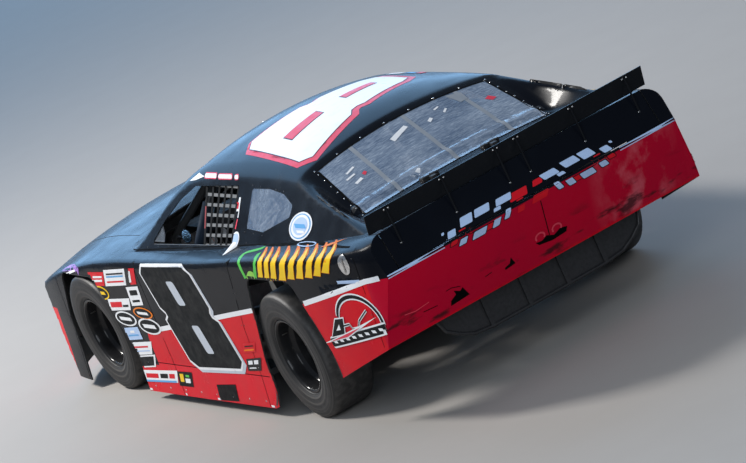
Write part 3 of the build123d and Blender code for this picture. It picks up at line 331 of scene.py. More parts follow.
mirror = metal("mirror_glass", (0.35, 0.62, 0.90), 0.08)
black_web = webbing("black_webbing", (0.006, 0.006, 0.007), 0.02)
grey_web = webbing("grey_webbing", (0.30, 0.31, 0.32))
red_web = webbing("red_webbing", (0.50, 0.012, 0.02))
pad_cloth = webbing("pad_cloth", (0.03, 0.03, 0.034))
grip_cloth = webbing("grip_cloth", (0.018, 0.018, 0.019))
rear_glass = polycarbonate("rear_polycarbonate", (0.10, 0.165, 0.28), 0.62, 0.95)
front_glass = polycarbonate("front_polycarbonate", (0.035, 0.045, 0.06), 0.22, 0.50, 0.1)
side_glass = polycarbonate("side_polycarbonate", (0.06, 0.13, 0.26), 0.42, 0.55, 0.1)


def from_bmesh(bm, name):
    """The finished mesh of a bmesh, which is freed."""
    mesh = bpy.data.meshes.new(name)
    bm.to_mesh(mesh)
    bm.free()
    return mesh


def shown(name, bm, materials, body=CAR, smooth=True, turn=None, place=(0, 0, 0), sharp=None):
    """A new piece from a bmesh, riding on a body; turn moves its mesh and place is its origin."""
    mesh = from_bmesh(bm, name)
    piece = bpy.data.objects.new(name, mesh)
    bpy.context.scene.collection.objects.link(piece)
    for material in materials:
        mesh.materials.append(material)
    if turn is not None:
        mesh.transform(turn)
    if smooth:
        mesh.shade_smooth()
    if sharp:
        mesh.set_sharp_from_angle(angle=math.radians(sharp))
    piece.location = place
    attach(piece, body)
    return piece


def circle(radius, count):
    """Pairs of coordinates round a circle."""
    return [(radius * math.cos(2 * math.pi * i / count), radius * math.sin(2 * math.pi * i / count))
            for i in range(count)]


def corner_ring(bm, points):
    """New corners of a mesh at the points."""
    return [bm.verts.new(p) for p in points]


def walls(bm, rings, material=0, closed=True):
    """Four-sided faces between neighbouring rings of corners."""
    count = len(rings[0])
    for low, high in zip(rings, rings[1:]):
        for i in range(count if closed else count - 1):
            k = (i + 1) % count
            bm.faces.new((low[i], low[k], high[k], high[i])).material_index = material


def tube(bm, rings, material=0):
    """Walls round the rings, and a face at both ends."""
    walls(bm, rings, material)
    for end in (rings[0][::-1], rings[-1]):
        bm.faces.new(end).material_index = material


def way_at(line, i):
    """The unit direction of a line of points at one of them."""
    return (Vector(line[min(i + 1, len(line) - 1)]) - Vector(line[max(i - 1, 0)])).normalized()


def between(corners, u, v):
    """A place among four corners: low start, low end, high end, high start."""
    a, b, c, d = (Vector(p) for p in corners)
    return a * (1 - u) * (1 - v) + b * u * (1 - v) + c * u * v + d * (1 - u) * v


def corner_arc(before, corner, after, cut, steps):
    """The corner eased over a length on both sides."""
    before, corner, after = Vector(before), Vector(corner), Vector(after)
    a, b = before - corner, after - corner
    start = corner + a.normalized() * min(cut, a.length * 0.45)
    end = corner + b.normalized() * min(cut, b.length * 0.45)
    shares = [i / steps for i in range(steps + 1)]
    return [start * (1 - t) ** 2 + corner * 2 * t * (1 - t) + end * t * t for t in shares]


def rounded(points, cut, steps=6):
    """A line of points whose inner corners are eased."""
    out = [Vector(points[0])]
    for corner in zip(points, points[1:], points[2:]):
        out += corner_arc(*corner, cut, steps)
    return out + [Vector(points[-1])]


def eased(outline, cut, steps=4):
    """A closed outline whose corners are eased."""
    return [tuple(p) for i, corner in enumerate(outline)
            for p in corner_arc(outline[i - 1], corner, outline[(i + 1) % len(outline)], cut, steps)]


# The panels' outsides follow the same stations as the CAD body, joined by smooth curves.
# Lower body: d, skirt, sill, belt half widths, belt height, deck half width and height, crown
lower_stations = [
    (-1.345, 0.890, 0.885, 0.826, 0.925, 0.800, 0.985, 0.990),
    (-1.161, 0.945, 0.940, 0.880, 0.925, 0.790, 0.968, 0.975),
    (-0.600, 0.975, 0.970, 0.945, 0.900, 0.800, 0.925, 0.958),
    (0.000, 0.988, 0.978, 0.960, 0.886, 0.815, 0.902, 0.925),
    (0.900, 0.996, 0.980, 0.966, 0.842, 0.845, 0.858, 0.875),
    (1.500, 0.998, 0.982, 0.966, 0.826, 0.850, 0.842, 0.862),
    (1.900, 0.998, 0.982, 0.962, 0.815, 0.800, 0.836, 0.872),
    (2.300, 0.997, 0.980, 0.955, 0.792, 0.740, 0.820, 0.866),
    (2.667, 0.994, 0.976, 0.945, 0.752, 0.715, 0.790, 0.842),
    (3.085, 0.985, 0.960, 0.920, 0.680, 0.690, 0.730, 0.788),
    (3.420, 0.960, 0.935, 0.890, 0.600, 0.660, 0.648, 0.702),
    (3.725, 0.930, 0.900, 0.860, 0.490, 0.620, 0.528, 0.570),
]
# Greenhouse: d, side's top height, roof edge half width and height, crown
cab_stations = [
    (-1.130, 0.958, 0.640, 0.940, 0.950),
    (-1.060, 0.975, 0.620, 0.948, 0.958),
    (-0.650, 1.055, 0.588, 0.950, 0.972),
    (-0.380, 1.102, 0.570, 1.056, 1.100),
    (-0.150, 1.143, 0.552, 1.156, 1.216),
    (-0.110, 1.150, 0.548, 1.170, 1.232),
    (0.200, 1.160, 0.530, 1.194, 1.274),
    (0.600, 1.164, 0.525, 1.200, 1.282),
    (1.000, 1.154, 0.535, 1.188, 1.264),
    (1.210, 1.140, 0.548, 1.170, 1.240),
    (1.330, 1.116, 0.575, 1.142, 1.208),
    (1.470, 1.062, 0.615, 1.086, 1.152),
    (1.580, 1.000, 0.655, 1.026, 1.104),
    (1.720, 0.905, 0.715, 0.935, 1.036),
    (1.880, 0.832, 0.745, 0.868, 0.962),
    (2.090, 0.806, 0.760, 0.812, 0.858),
]
skirt_z, sill_z, cab_foot = 0.055, 0.232, 0.74
station_step = 0.02
crown_points = 14
lower_rounding, cab_rounding = 0.035, 0.036


def cab_side(height):
    """Half width of the greenhouse's leaning side at a height."""
    return 0.835 - 0.83 * (height - 0.867)


def smooth_rows(rows):
    """Rows every station_step along the car, on curves through the stations that never overshoot."""
    table = np.array(rows)
    places, values = table[:, 0], table[:, 1:]
    slopes = np.diff(values, axis=0) / np.diff(places)[:, None]
    tangents = np.zeros_like(values)
    tangents[0], tangents[-1] = slopes[0], slopes[-1]
    before, after = slopes[:-1], slopes[1:]
    same = before * after > 0
    tangents[1:-1][same] = 2 * before[same] * after[same] / (before[same] + after[same])
    for d in np.arange(places[0], places[-1], station_step):
        i = min(np.searchsorted(places, d, "right") - 1, len(places) - 2)
        span = places[i + 1] - places[i]
        t = (d - places[i]) / span
        row = (values[i] * (2 * t**3 - 3 * t**2 + 1) + values[i + 1] * (3 * t**2 - 2 * t**3)
               + span * (tangents[i] * (t**3 - 2 * t**2 + t) + tangents[i + 1] * (t**3 - t**2)))
        yield d, row


def crown_arc(half, edge_z, top_z):
    """Points of the arc over the top, from just inside the left edge to the middle."""
    rise = max(top_z - edge_z, 1e-4)
    radius = (half * half + rise * rise) / (2 * rise)
    inward = [half * (1 - i / crown_points) for i in range(1, crown_points + 1)]
    return [(y, top_z - radius + math.sqrt(radius * radius - y * y)) for y in inward]


def lower_section(skirt, sill, belt, belt_z, deck, deck_z, crown):
    """Left half of a lower-body section."""
    line = [(skirt, -0.02), (skirt, skirt_z), (sill, sill_z), (belt, belt_z), (deck, deck_z)]
    return rounded(line + crown_arc(deck, deck_z, crown), lower_rounding)


def cab_section(ridge_z, edge_y, edge_z, crown):
    """Left half of a greenhouse section."""
    line = [(cab_side(cab_foot), cab_foot), (cab_side(ridge_z), ridge_z), (edge_y, edge_z)]
    return rounded(line + crown_arc(edge_y, edge_z, crown), cab_rounding)


def surface(stations, section):
    """A smooth sheet through the sections, both halves: corners, faces, corner normals and a search tree."""
    rings = []
    for d, row in smooth_rows(stations):
        ring = [(ahead(d), p.x, p.y) for p in section(*row)]
        rings.append(ring + [(x, -y, z) for x, y, z in reversed(ring[:-1])])
    across = len(rings[0])
    faces = [(r * across + c, r * across + c + 1, (r + 1) * across + c + 1, (r + 1) * across + c)
             for r in range(len(rings) - 1) for c in range(across - 1)]
    mesh = bpy.data.meshes.new("sheet")
    mesh.from_pydata([p for ring in rings for p in ring], [], faces)
    points = [v.co.copy() for v in mesh.vertices]
    normals = [v.normal.copy() for v in mesh.vertices]
    if normals[across * (len(rings) // 2) + across // 2].z < 0:
        normals = [-n for n in normals]
    bpy.data.meshes.remove(mesh)
    return points, faces, normals, BVHTree.FromPolygons(points, faces)


sheets = [surface(lower_stations, lower_section), surface(cab_stations, cab_section)]
snap_reach = 0.014
panel_cell = 0.03
smooth_angle = math.cos(math.radians(32))
wall_behind = 0.0018        # how far an inner wall stays behind the sheet
middle_d, end_reach = 1.2, 2.2


def on_sheet(point, normals):
    """The nearest place and normal on the smooth sheets that faces the way of the normals, or None."""
    direction = sum(normals, Vector()).normalized()
    best = None
    for points, faces, sheet_normals, tree in sheets:
        place, _, index, distance = tree.find_nearest(point, snap_reach)
        if place is None:
            continue
        weights = poly_3d_calc([points[i] for i in faces[index]], place)
        normal = sum((sheet_normals[i] * w for i, w in zip(faces[index], weights)), Vector()).normalized()
        if normal.dot(direction) > 0.75 and (best is None or distance < best[2]):
            best = (place, normal, distance)
    return best


def cells(bm, size, axes=(0, 1, 2)):
    """Cuts a mesh by planes at a regular spacing, so that it can follow curves."""
    for axis in axes:
        values = [v.co[axis] for v in bm.verts]
        for i in range(math.ceil(min(values) / size), math.floor(max(values) / size) + 1):
            cut(bm, axis, i * size)


def cut(bm, axis, limit, way=1, **clearing):
    """Cuts a mesh by a plane across an axis."""
    at_limit, normal = Vector(), Vector()
    at_limit[axis], normal[axis] = limit, way
    bmesh.ops.bisect_plane(bm, geom=bm.verts[:] + bm.edges[:] + bm.faces[:], dist=1e-6,
                           plane_co=at_limit, plane_no=normal, **clearing)


def dressed(node, outer, inner, body=CAR):
    """A finer copy of a CAD skin panel: its outside lies on the smooth sheets and shades smoothly."""
    bm = bmesh.new()
    bm.from_mesh(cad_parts[node].data)
    bmesh.ops.remove_doubles(bm, verts=bm.verts, dist=1e-5)
    cells(bm, panel_cell)
    bm.normal_update()
    bm.verts.ensure_lookup_table()
    skin = {}
    for face in bm.faces:
        middle = face.calc_center_median()
        found = on_sheet(middle, [face.normal])
        reach = middle.x - ahead(middle_d)
        end_face = abs(reach) > end_reach and abs(face.normal.x) > 0.5 and face.normal.x * reach > 0
        face.material_index = 0 if found or end_face else 1
        if found:
            for vert in face.verts:
                skin.setdefault(vert.index, []).append(face.normal)
    moved_to = {}
    for index, normals in skin.items():
        vert = bm.verts[index]
        found = on_sheet(vert.co, normals)
        if found:
            vert.co, moved_to[index] = found[:2]
    hidden = {}
    for face in bm.faces:
        if face.material_index == 1:
            for vert in face.verts:
                if vert.index not in skin:
                    hidden.setdefault(vert.index, []).append(-face.normal)
    for index, normals in hidden.items():
        vert = bm.verts[index]
        found = on_sheet(vert.co, normals)
        if found:
            depth = (found[0] - vert.co).dot(found[1])
            vert.co -= found[1] * max(0.0, wall_behind - depth)
    bm.normal_update()
    corner_normals = []
    for face in bm.faces:
        for vert in face.verts:
            smooth = moved_to.get(vert.index)
            if smooth is None or smooth.dot(face.normal) <= 0.6:
                near = [f.normal * f.calc_area() for f in vert.link_faces
                        if f.normal.dot(face.normal) > smooth_angle]
                smooth = sum(near, Vector()).normalized() if near else face.normal.copy()
            corner_normals.append(smooth)
    piece = shown(f"{node}_skin", bm, [outer, inner], body)
    piece.data.normals_split_custom_set(corner_normals)
    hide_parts(node)
    return piece


lids = ("hood", "deck_lid")
panels = {}
for node in ("nose", "hood", "fender_left", "fender_right", "door_left", "door_right", "quarter_left",
             "quarter_right", "roof", "deck_lid", "tail"):
    panels[node] = dressed(node, paint, inside, node if node in lids else CAR)
for node, glass in (
        ("windshield", front_glass), ("rear_window", rear_glass), ("quarter_windows", side_glass)):
    panels[node] = dressed(node, glass, glass)


# Thin shapes laid on the panels. Outlines are in two coordinates, seen from one side: d and height from
# the left and right, d and y from the top, y and height from the nose and tail. The shoulder views look
# down at 45 degrees, so that a height runs on up over the body's edge.
shoulder_y = 0.94
views = {
    "left": (lambda u, v: (u, 3, v), (0, -1, 0)),
    "right": (lambda u, v: (u, -3, v), (0, 1, 0)),
    "left_shoulder": (lambda u, v: (u, shoulder_y + 2, v + 2), (0, -1, -1)),
    "right_shoulder": (lambda u, v: (u, -shoulder_y - 2, v + 2), (0, 1, -1)),
    "top": (lambda u, v: (u, v, 3), (0, 0, -1)),
    "tail": (lambda u, v: (-5, u, v), (1, 0, 0)),
    "nose": (lambda u, v: (5, u, v), (-1, 0, 0)),
}
layer = 0.0009


def skin_tree(names):
    """A search tree over the named panels' skins."""
    corners, faces = [], []
    for name in names:
        mesh = panels[name].data
        start = len(corners)
        corners += [v.co.copy() for v in mesh.vertices]
        faces += [[start + i for i in f.vertices] for f in mesh.polygons]
    return BVHTree.FromPolygons(corners, faces)


trees = {CAR: skin_tree([n for n in panels if n not in lids]), "deck_lid": skin_tree(["deck_lid"])}


def origin_of(view):
    """What a view adds to an outline's first coordinate."""
    return 0 if view in ("tail", "nose") else ahead(0)


def landed(view, u, v, body):
    """Where a place in a view lands on the body's skin, and the skin's normal there."""
    start, direction = views[view]
    place, normal, _, _ = trees[body].ray_cast(Vector(start(u, v)), Vector(direction))
    if normal is not None and normal.dot(Vector(direction)) > 0:
        normal = -normal
    return place, normal


def grown(outline, distance):
    """The outline moved out by a distance, in the way of a drawn border."""
    area = sum(a[0] * b[1] - b[0] * a[1] for a, b in zip(outline, outline[1:] + outline[:1]))
    side = distance if area > 0 else -distance
    out = []
    for i, corner in enumerate(outline):
        corner = Vector(corner)
        before, after = Vector(outline[i - 1]), Vector(outline[(i + 1) % len(outline)])
        first, second = (corner - before).normalized(), (after - corner).normalized()
        n1, n2 = Vector((first.y, -first.x)), Vector((second.y, -second.x))
        out.append(tuple(corner + (n1 + n2) * side / max(1 + n1.dot(n2), 0.3)))
    return out


class Livery:
    """Collects laid shapes of one body into one piece."""

    def __init__(self, name, body=CAR):
        self.name, self.body = name, body
        self.bm = bmesh.new()
        self.materials = []

    def lay(self, view, outline, material, level=1, cell=panel_cell, clip=None):
        """Lays an outline on the skin at a level above it; clip is (axis, low, high) of the outline."""
        flat = bmesh.new()
        face = flat.faces.new([flat.verts.new((u + origin_of(view), v, 0)) for u, v in outline])
        face.normal_update()
        bmesh.ops.triangulate(flat, faces=[face])
        if clip:
            axis, low, high = clip
            for limit, way in ((low, -1), (high, 1)):
                cut(flat, axis, limit, way, clear_outer=True)
        if not flat.faces:
            flat.free()
            return
        cells(flat, cell, (0, 1))
        if material not in self.materials:
            self.materials.append(material)
        made = {}
        for vert in flat.verts:
            place, normal = landed(view, vert.co.x, vert.co.y, self.body)
            if place is not None:
                made[vert] = self.bm.verts.new(place + normal * layer * level)
        outward = -Vector(views[view][1])
        for face in flat.faces:
            if all(v in made for v in face.verts):
                new = self.bm.faces.new([made[v] for v in face.verts])
                new.normal_update()
                if new.normal.dot(outward) < 0:
                    new.normal_flip()
                new.material_index = self.materials.index(material)
        flat.free()

    def both(self, outline, material, level=1, cell=panel_cell):
        """The same shape on both sides of the car."""
        for side in ("left", "right"):
            self.lay(side, outline, material, level, cell)

    def shoulders(self, outline, material, level=1):
        """The same shape on both shoulders."""
        for side in ("left_shoulder", "right_shoulder"):
            self.lay(side, outline, material, level)

    def top(self, outline, material, level=1):
        """A shape seen from the top."""
        self.lay("top", outline, material, level)

    def finish(self):
        """The finished piece."""
        shown(self.name, self.bm, self.materials, self.body)


def bordered(put, outline, distance, edge, face, level):
    """A shape over a wider one of another colour."""
    put(grown(outline, distance), edge, level)
    put(outline, face, level + 1)


def ribbon(line, width):
    """An outline of even width along a line of points."""
    left, right = [], []
    for i, point in enumerate(line):
        along = way_at(line, i)
        across = Vector((-along.y, along.x)) * width / 2
        left.append(tuple(Vector(point) + across))
        right.append(tuple(Vector(point) - across))
    return left + right[::-1]


def disc(u, v, radius_u, radius_v):
    """A round or oval outline."""
    return [(u + radius_u * a, v + radius_v * b) for a, b in circle(1, 32)]


def arc(u, v, radius_u, radius_v, start, end, count):
    """Points along a part of an oval."""
    return [(u + radius_u * math.cos(a), v + radius_v * math.sin(a)) for a in np.linspace(start, end, count)]


def box_outline(u, v, width, height, lean=0.0):
    """A four-sided outline round a centre, whose top is shifted by the lean."""
    w, h, s = width / 2, height / 2, lean / 2
    return [(u - w - s, v - h), (u + w - s, v - h), (u + w + s, v + h), (u - w + s, v + h)]


def fitted(shape, corners):
    """A shape in shares of width and height, set between four corners."""
    return [tuple(between(corners, u, v)) for u, v in shape]


def share_box(u0, v0, u1, v1):
    """A box in shares of width and height."""
    return [(u0, v0), (u1, v0), (u1, v1), (u0, v1)]


def moved(outline, du, dv):
    """The outline shifted."""
    return [(u + du, v + dv) for u, v in outline]


# A plain block figure eight, in shares of its width and height
eight_face = [(0.10, 0.0), (0.90, 0.0), (1.0, 0.07), (1.0, 0.46), (0.93, 0.50), (0.93, 0.55), (0.98, 0.60),
              (0.98, 0.93), (0.90, 1.0), (0.10, 1.0), (0.02, 0.93), (0.02, 0.60), (0.07, 0.55), (0.07, 0.50),
              (0.0, 0.46), (0.0, 0.07)]
eight_slots = [share_box(0.43, 0.14, 0.57, 0.42), share_box(0.43, 0.62, 0.57, 0.86)]

livery = Livery("livery")
lid_livery = Livery("lid_livery", "deck_lid")
mid_line = 0.7975                       # between the tail cover's top edge and the boot lid's lower edge


def on_tail(outline, material, level=1, cell=panel_cell):
    """A shape across the tail: the part on the cover rides on the car, the rest on the lid."""
    livery.lay("tail", outline, material, level, cell, (1, -1, mid_line))
    lid_livery.lay("tail", outline, material, level, cell, (1, mid_line, 3))


# Side stripe over the border of the two colours, and its raised part on the tail's corner
livery.both(ribbon([(-1.272, 0.790)] + border_line[1:6] + [(stripe_end, 0.432)], 0.026), white)

# Door figure: offset shadow, white edge, charcoal face
door_corners = [(1.375, 0.236), (0.655, 0.262), (0.885, 0.822), (1.610, 0.800)]
door_figure = fitted(eight_face, door_corners)
livery.both(moved(grown(door_figure, 0.017), -0.022, -0.012), slot_grey, 2)
bordered(livery.both, door_figure, 0.015, white, charcoal, 2.6)
for slot in eight_slots:
    livery.both(eased(fitted(slot, door_corners), 0.022), slot_grey, 4.6)

# Roof figure: white face, thin black line, rose border
roof_corners = [(0.87, 0.42), (-0.06, 0.50), (0.33, -0.36), (0.92, -0.40)]
roof_figure = fitted(eight_face, roof_corners)
livery.top(grown(roof_figure, 0.020), rose)
livery.top(moved(grown(roof_figure, 0.034), -0.026, 0.004), rose)
bordered(livery.top, roof_figure, 0.005, gloss_black, white, 2)
for slot in eight_slots:
    bordered(livery.top, fitted(slot, roof_corners), 0.006, gloss_black, rose, 4)

# Placards behind the front wheel and on the door: corners, base, and plain marks in shares
placards = [
    ([(2.483, 0.646), (2.226, 0.663), (2.163, 0.746), (2.420, 0.734)], bright_red,
     [(0.12, 0.30, 0.88, 0.46, white), (0.30, 0.58, 0.88, 0.72, white)]),
    ([(2.213, 0.661), (1.875, 0.683), (1.804, 0.782), (2.148, 0.759)], white,
     [(0.10, 0.52, 0.90, 0.62, sky_blue), (0.10, 0.68, 0.90, 0.78, gloss_black),
      (0.10, 0.20, 0.90, 0.30, bright_red)]),
    ([(1.875, 0.683), (1.714, 0.696), (1.654, 0.790), (1.804, 0.782)], bright_red,
     [(0.0, 0.0, 0.42, 1.0, gloss_black), (0.36, 0.15, 0.56, 0.85, white)]),
    ([(1.921, 0.560), (1.743, 0.574), (1.713, 0.684), (1.900, 0.670)], white,
     [(0.18, 0.55, 0.82, 0.82, charcoal), (0.18, 0.18, 0.82, 0.30, charcoal)]),
    ([(2.290, 0.515), (1.969, 0.534), (1.921, 0.605), (2.270, 0.583)], white,
     [(0.08, 0.28, 0.62, 0.74, bright_red), (0.66, 0.28, 0.92, 0.46, charcoal)]),
    ([(2.215, 0.345), (1.972, 0.364), (1.978, 0.435), (2.193, 0.418)], pale_blue,
     [(0.15, 0.30, 0.85, 0.42, sky_blue), (0.35, 0.55, 0.65, 0.75, white)]),
    ([(2.225, 0.257), (1.924, 0.278), (1.862, 0.356), (2.186, 0.333)], white,
     [(0.12, 0.55, 0.82, 0.68, bright_red), (0.25, 0.25, 0.90, 0.34, pale_blue)]),
    ([(2.178, 0.187), (1.945, 0.204), (1.888, 0.278), (2.156, 0.257)], white,
     [(0.10, 0.12, 0.90, 0.88, charcoal), (0.22, 0.40, 0.78, 0.52, white)]),
    ([(2.187, 0.108), (1.699, 0.127), (1.652, 0.198), (2.170, 0.174)], white,
     [(0.04, 0.0, 0.96, 0.16, sky_blue), (0.08, 0.34, 0.44, 0.72, bright_red),
      (0.50, 0.34, 0.72, 0.72, charcoal), (0.76, 0.34, 0.92, 0.72, bright_red)]),
    ([(1.686, 0.112), (1.493, 0.114), (1.448, 0.200), (1.657, 0.194)], charcoal,
     [(0.15, 0.30, 0.40, 0.85, yellow), (0.50, 0.25, 0.85, 0.55, white), (0.55, 0.65, 0.80, 0.80, green)]),
    ([(0.600, 0.353), (0.428, 0.368), (0.382, 0.426), (0.553, 0.411)], bright_red,
     [(0.10, 0.20, 0.90, 0.36, orange), (0.15, 0.60, 0.85, 0.72, black_plastic)]),
    ([(0.636, 0.252), (0.455, 0.263), (0.388, 0.340), (0.599, 0.320)], gloss_black,
     [(0.12, 0.52, 0.42, 0.84, white), (0.52, 0.52, 0.82, 0.84, white), (0.15, 0.18, 0.82, 0.28, white)]),
]
for corners, base, marks in placards:
    livery.both(corners, base, 2)
    for *box, tone in marks:
        livery.both(fitted(share_box(*box), corners), tone, 3)

# Oval placards with a bar across: d, height, half sizes, rim, bar
for d, z, half_d, half_z, rim, bar in (
        (2.335, 0.617, 0.120, 0.040, yellow, yellow), (1.806, 0.523, 0.138, 0.034, orange, white),
        (2.104, 0.477, 0.154, 0.043, white, white), (1.785, 0.448, 0.158, 0.048, white, white)):
    livery.both(disc(d, z, half_d, half_z), rim, 2)
    livery.both(disc(d, z, half_d * 0.86, half_z * 0.80), charcoal, 3)
    livery.both(box_outline(d, z, half_d * 1.1, half_z * 0.45, half_z * 0.3), bar, 4)

# Violet patch on the fender's front shoulder, with a plain pale bar
violet_patch = [(2.955, 0.645), (2.790, 0.660), (2.600, 0.690), (2.560, 0.740), (2.680, 0.775),
                (2.800, 0.772), (2.900, 0.735)]
livery.shoulders(eased(violet_patch, 0.02), violet)
livery.shoulders(ribbon([(2.880, 0.690), (2.640, 0.726)], 0.016), white, 2)

# Flame tongues over the rear wheel, from the side up over the shoulder: how far up, and how far ahead of
# the foot; then the near and far edges in shares of the width, at each height
tongue_path = [(0.0, 0.0), (0.040, -0.032), (0.086, -0.062), (0.126, -0.066), (0.164, -0.040), (0.206, 0.004),
               (0.249, 0.046)]
yellow_swells = [(-0.10, 1.10), (0.04, 1.0), (0.0, 0.96), (0.04, 0.98), (0.16, 0.80), (0.38, 0.56)]
orange_swells = [(0.30, 0.40), (0.30, 0.42), (0.10, 0.80), (0.04, 1.02), (-0.06, 1.04), (-0.10, 0.76),
                 (-0.30, 0.10)]


def tongue(start, foot, wide, swells):
    """A flame tongue's outline."""
    edges = [[(start + forth - wide * swell[k], foot + up) for (up, forth), swell in zip(tongue_path, swells)]
             for k in (0, 1)]
    return edges[0] + edges[1][::-1]


for start, foot, wide in (
        (-0.020, 0.757, 0.052), (-0.100, 0.760, 0.052), (-0.180, 0.765, 0.060), (-0.290, 0.776, 0.066),
        (-0.400, 0.788, 0.062), (-0.505, 0.797, 0.064), (-0.612, 0.808, 0.060), (-0.712, 0.824, 0.056),
        (-0.806, 0.848, 0.056)):
    flame = tongue(start, foot, wide, yellow_swells)
    livery.shoulders(tongue(start, foot, wide, orange_swells), orange)
    livery.shoulders(grown(flame, 0.003), orange, 2.2)
    livery.shoulders(flame, yellow, 3.4)
livery.shoulders([(-0.660, 1.022), (-0.760, 1.040), (-0.880, 1.110), (-0.740, 1.066)], orange, 2)

# Green swirl with a leaf ahead of the flames, and a pale ring above them
swirls = [
    ([(0.062, 1.002), (0.108, 0.978), (0.170, 0.962), (0.232, 0.938), (0.178, 0.884), (0.152, 0.822),
      (0.140, 0.764)], 0.032),
    ([(0.018, 0.946), (-0.012, 0.908), (-0.048, 0.878), (-0.030, 0.826), (0.010, 0.776)], 0.030),
]
for line, width in swirls:
    livery.shoulders(ribbon(rounded(line, 0.04, 4), width), green)
leaf = [(0.132, 0.768), (0.060, 0.812), (0.002, 0.806), (0.016, 0.762), (0.080, 0.752)]
livery.shoulders(eased(leaf, 0.03), lime, 2)
livery.shoulders(ribbon(arc(-0.440, 1.046, 0.115, 0.022, 0.0, 2 * math.pi, 25), 0.009), pale_blue, 4)

# Round badge on the sail panel and small ones on the door's rear post
badge_d, badge_z = -0.285, 0.977
for grow, tone, level in ((1.0, white, 2), (0.88, sky_blue, 3), (0.80, white, 4), (0.62, pale_blue, 5)):
    livery.both(disc(badge_d, badge_z, 0.138 * grow, 0.056 * grow), tone, level)
for outline, tone, level in (
        (box_outline(badge_d, badge_z, 0.13, 0.016, 0.03), sky_blue, 6),
        (box_outline(badge_d - 0.02, badge_z - 0.022, 0.09, 0.010, 0.02), white, 6),
        (disc(0.50, 0.905, 0.050, 0.036), white, 2), (disc(0.50, 0.905, 0.040, 0.028), pale_blue, 3),
        ([(0.585, 0.995), (0.520, 0.995), (0.545, 1.075), (0.585, 1.078)], white, 2),
        ([(0.578, 1.030), (0.545, 1.030), (0.552, 1.055), (0.578, 1.056)], bright_red, 3),
        ([(0.580, 0.950), (0.520, 0.950), (0.522, 0.990), (0.582, 0.990)], rose, 2)):
    livery.both(outline, tone, level)

# Filler cover of the fuel cell on the quarter, with its latch
filler_d, filler_z, filler_radius = -1.030, 0.872, 0.050
for share, tone, level in ((1.0, seam_black, 1), (0.94, bright_steel, 2)):
    radius = filler_radius * share
    livery.both(disc(filler_d, filler_z, radius, radius * 1.05), tone, level, 0.015)
livery.both(box_outline(filler_d, filler_z, 0.010, 0.070), bare_steel, 4, 0.015)

# Quarter badge: a pale double arch over a triangle and a bar of plain blocks, crossed by a slash
arch_line = arc(-0.985, 0.572, 0.208, 0.140, 0.25, math.pi * 1.02, 22)
bar_line = [(-0.610, 0.468), (-1.215, 0.548)]
step_line = [(-0.80, 0.560), (-0.875, 0.570), (-0.895, 0.545), (-0.955, 0.552), (-0.985, 0.588),
             (-1.085, 0.640)]
wedge = [(-0.640, 0.500), (-0.790, 0.520), (-0.830, 0.600), (-0.745, 0.594)]
for outline, tone, level in (
        (ribbon(arch_line, 0.034), white, 2), (ribbon(arch_line, 0.018), charcoal, 3),
        (ribbon(step_line, 0.016), white, 3.6), (ribbon(step_line, 0.007), charcoal, 4.6),
        (eased(ribbon(bar_line, 0.062), 0.02), white, 4),
        (eased(ribbon(bar_line, 0.044), 0.012), charcoal, 5),
        ([(-0.715, 0.535), (-0.765, 0.540), (-0.770, 0.570)], white, 5.5),
        ([(-0.520, 0.462), (-0.820, 0.500), (-1.160, 0.606), (-0.840, 0.532)], white, 7),
        ([(-0.60, 0.474), (-0.82, 0.506), (-0.98, 0.556), (-0.82, 0.522)], rose, 8)):
    livery.both(outline, tone, level)
bordered(livery.both, wedge, 0.007, white, charcoal, 3.5)
for k in range(8):
    share = (k + 0.5) / 8
    livery.both(box_outline(-0.625 - 0.575 * share, 0.470 + 0.076 * share, 0.038, 0.014, 0.010), white, 6)

# Bare pale strips along the roof rail, in the places of the names
livery.both([(1.290, 1.128), (1.208, 1.134), (1.10, 1.150), (1.21, 1.158)], white, 2)
for d0, d1 in ((1.09, 0.93), (0.90, 0.72), (0.68, 0.635)):
    strip = eased([(d0, 1.146), (d1, 1.147), (d1 + 0.02, 1.162), (d0 + 0.02, 1.160)], 0.012)
    bordered(livery.both, strip, 0.004, rose, white, 1)
for d0, d1, tone in ((0.92, 0.72, white), (0.68, 0.56, sky_blue), (0.54, 0.46, bright_red)):
    livery.top([(d0, -0.475), (d1, -0.470), (d1, -0.505), (d0, -0.510)], tone, 2)

# Tail: pale stripes to a plain chequered band of leaning blocks, given by y, height and size
stripe_z = 0.786
block_lean = 0.55
pale_blocks = [
    (0.492, 0.836, 0.016, 0.012), (0.500, 0.800, 0.022, 0.014), (0.452, 0.818, 0.046, 0.030),
    (0.412, 0.762, 0.042, 0.030), (0.352, 0.842, 0.070, 0.040), (0.318, 0.758, 0.076, 0.034),
    (0.258, 0.846, 0.086, 0.034), (0.205, 0.785, 0.040, 0.080), (0.135, 0.842, 0.088, 0.030),
    (0.150, 0.775, 0.030, 0.040)]
red_blocks = [(0.462, 0.776, 0.040, 0.020), (0.402, 0.800, 0.040, 0.030), (0.340, 0.792, 0.052, 0.024),
              (0.262, 0.762, 0.048, 0.026)]
middle_blocks = [(0.055, 0.830, 0.100, 0.036), (0.070, 0.780, 0.040, 0.060), (-0.040, 0.772, 0.090, 0.034),
                 (-0.062, 0.838, 0.056, 0.026)]
for sign in (1, -1):
    livery.lay("tail", ribbon([(sign * 0.515, stripe_z), (sign * 0.925, stripe_z)], 0.017), pale_blue)
    for blocks, tone, level in ((red_blocks, bright_red, 2), (pale_blocks, pale_blue, 3)):
        for y, z, wide, high in blocks:
            block = eased(box_outline(sign * y, z, wide, high, -sign * block_lean * high), 0.006, 2)
            on_tail(grown(block, 0.004), gloss_black, level - 0.5)
            on_tail(block, tone, level)
for y, z, wide, high in middle_blocks:
    on_tail(eased(box_outline(y, z, wide, high, -0.016), 0.006, 2), bright_red, 2)

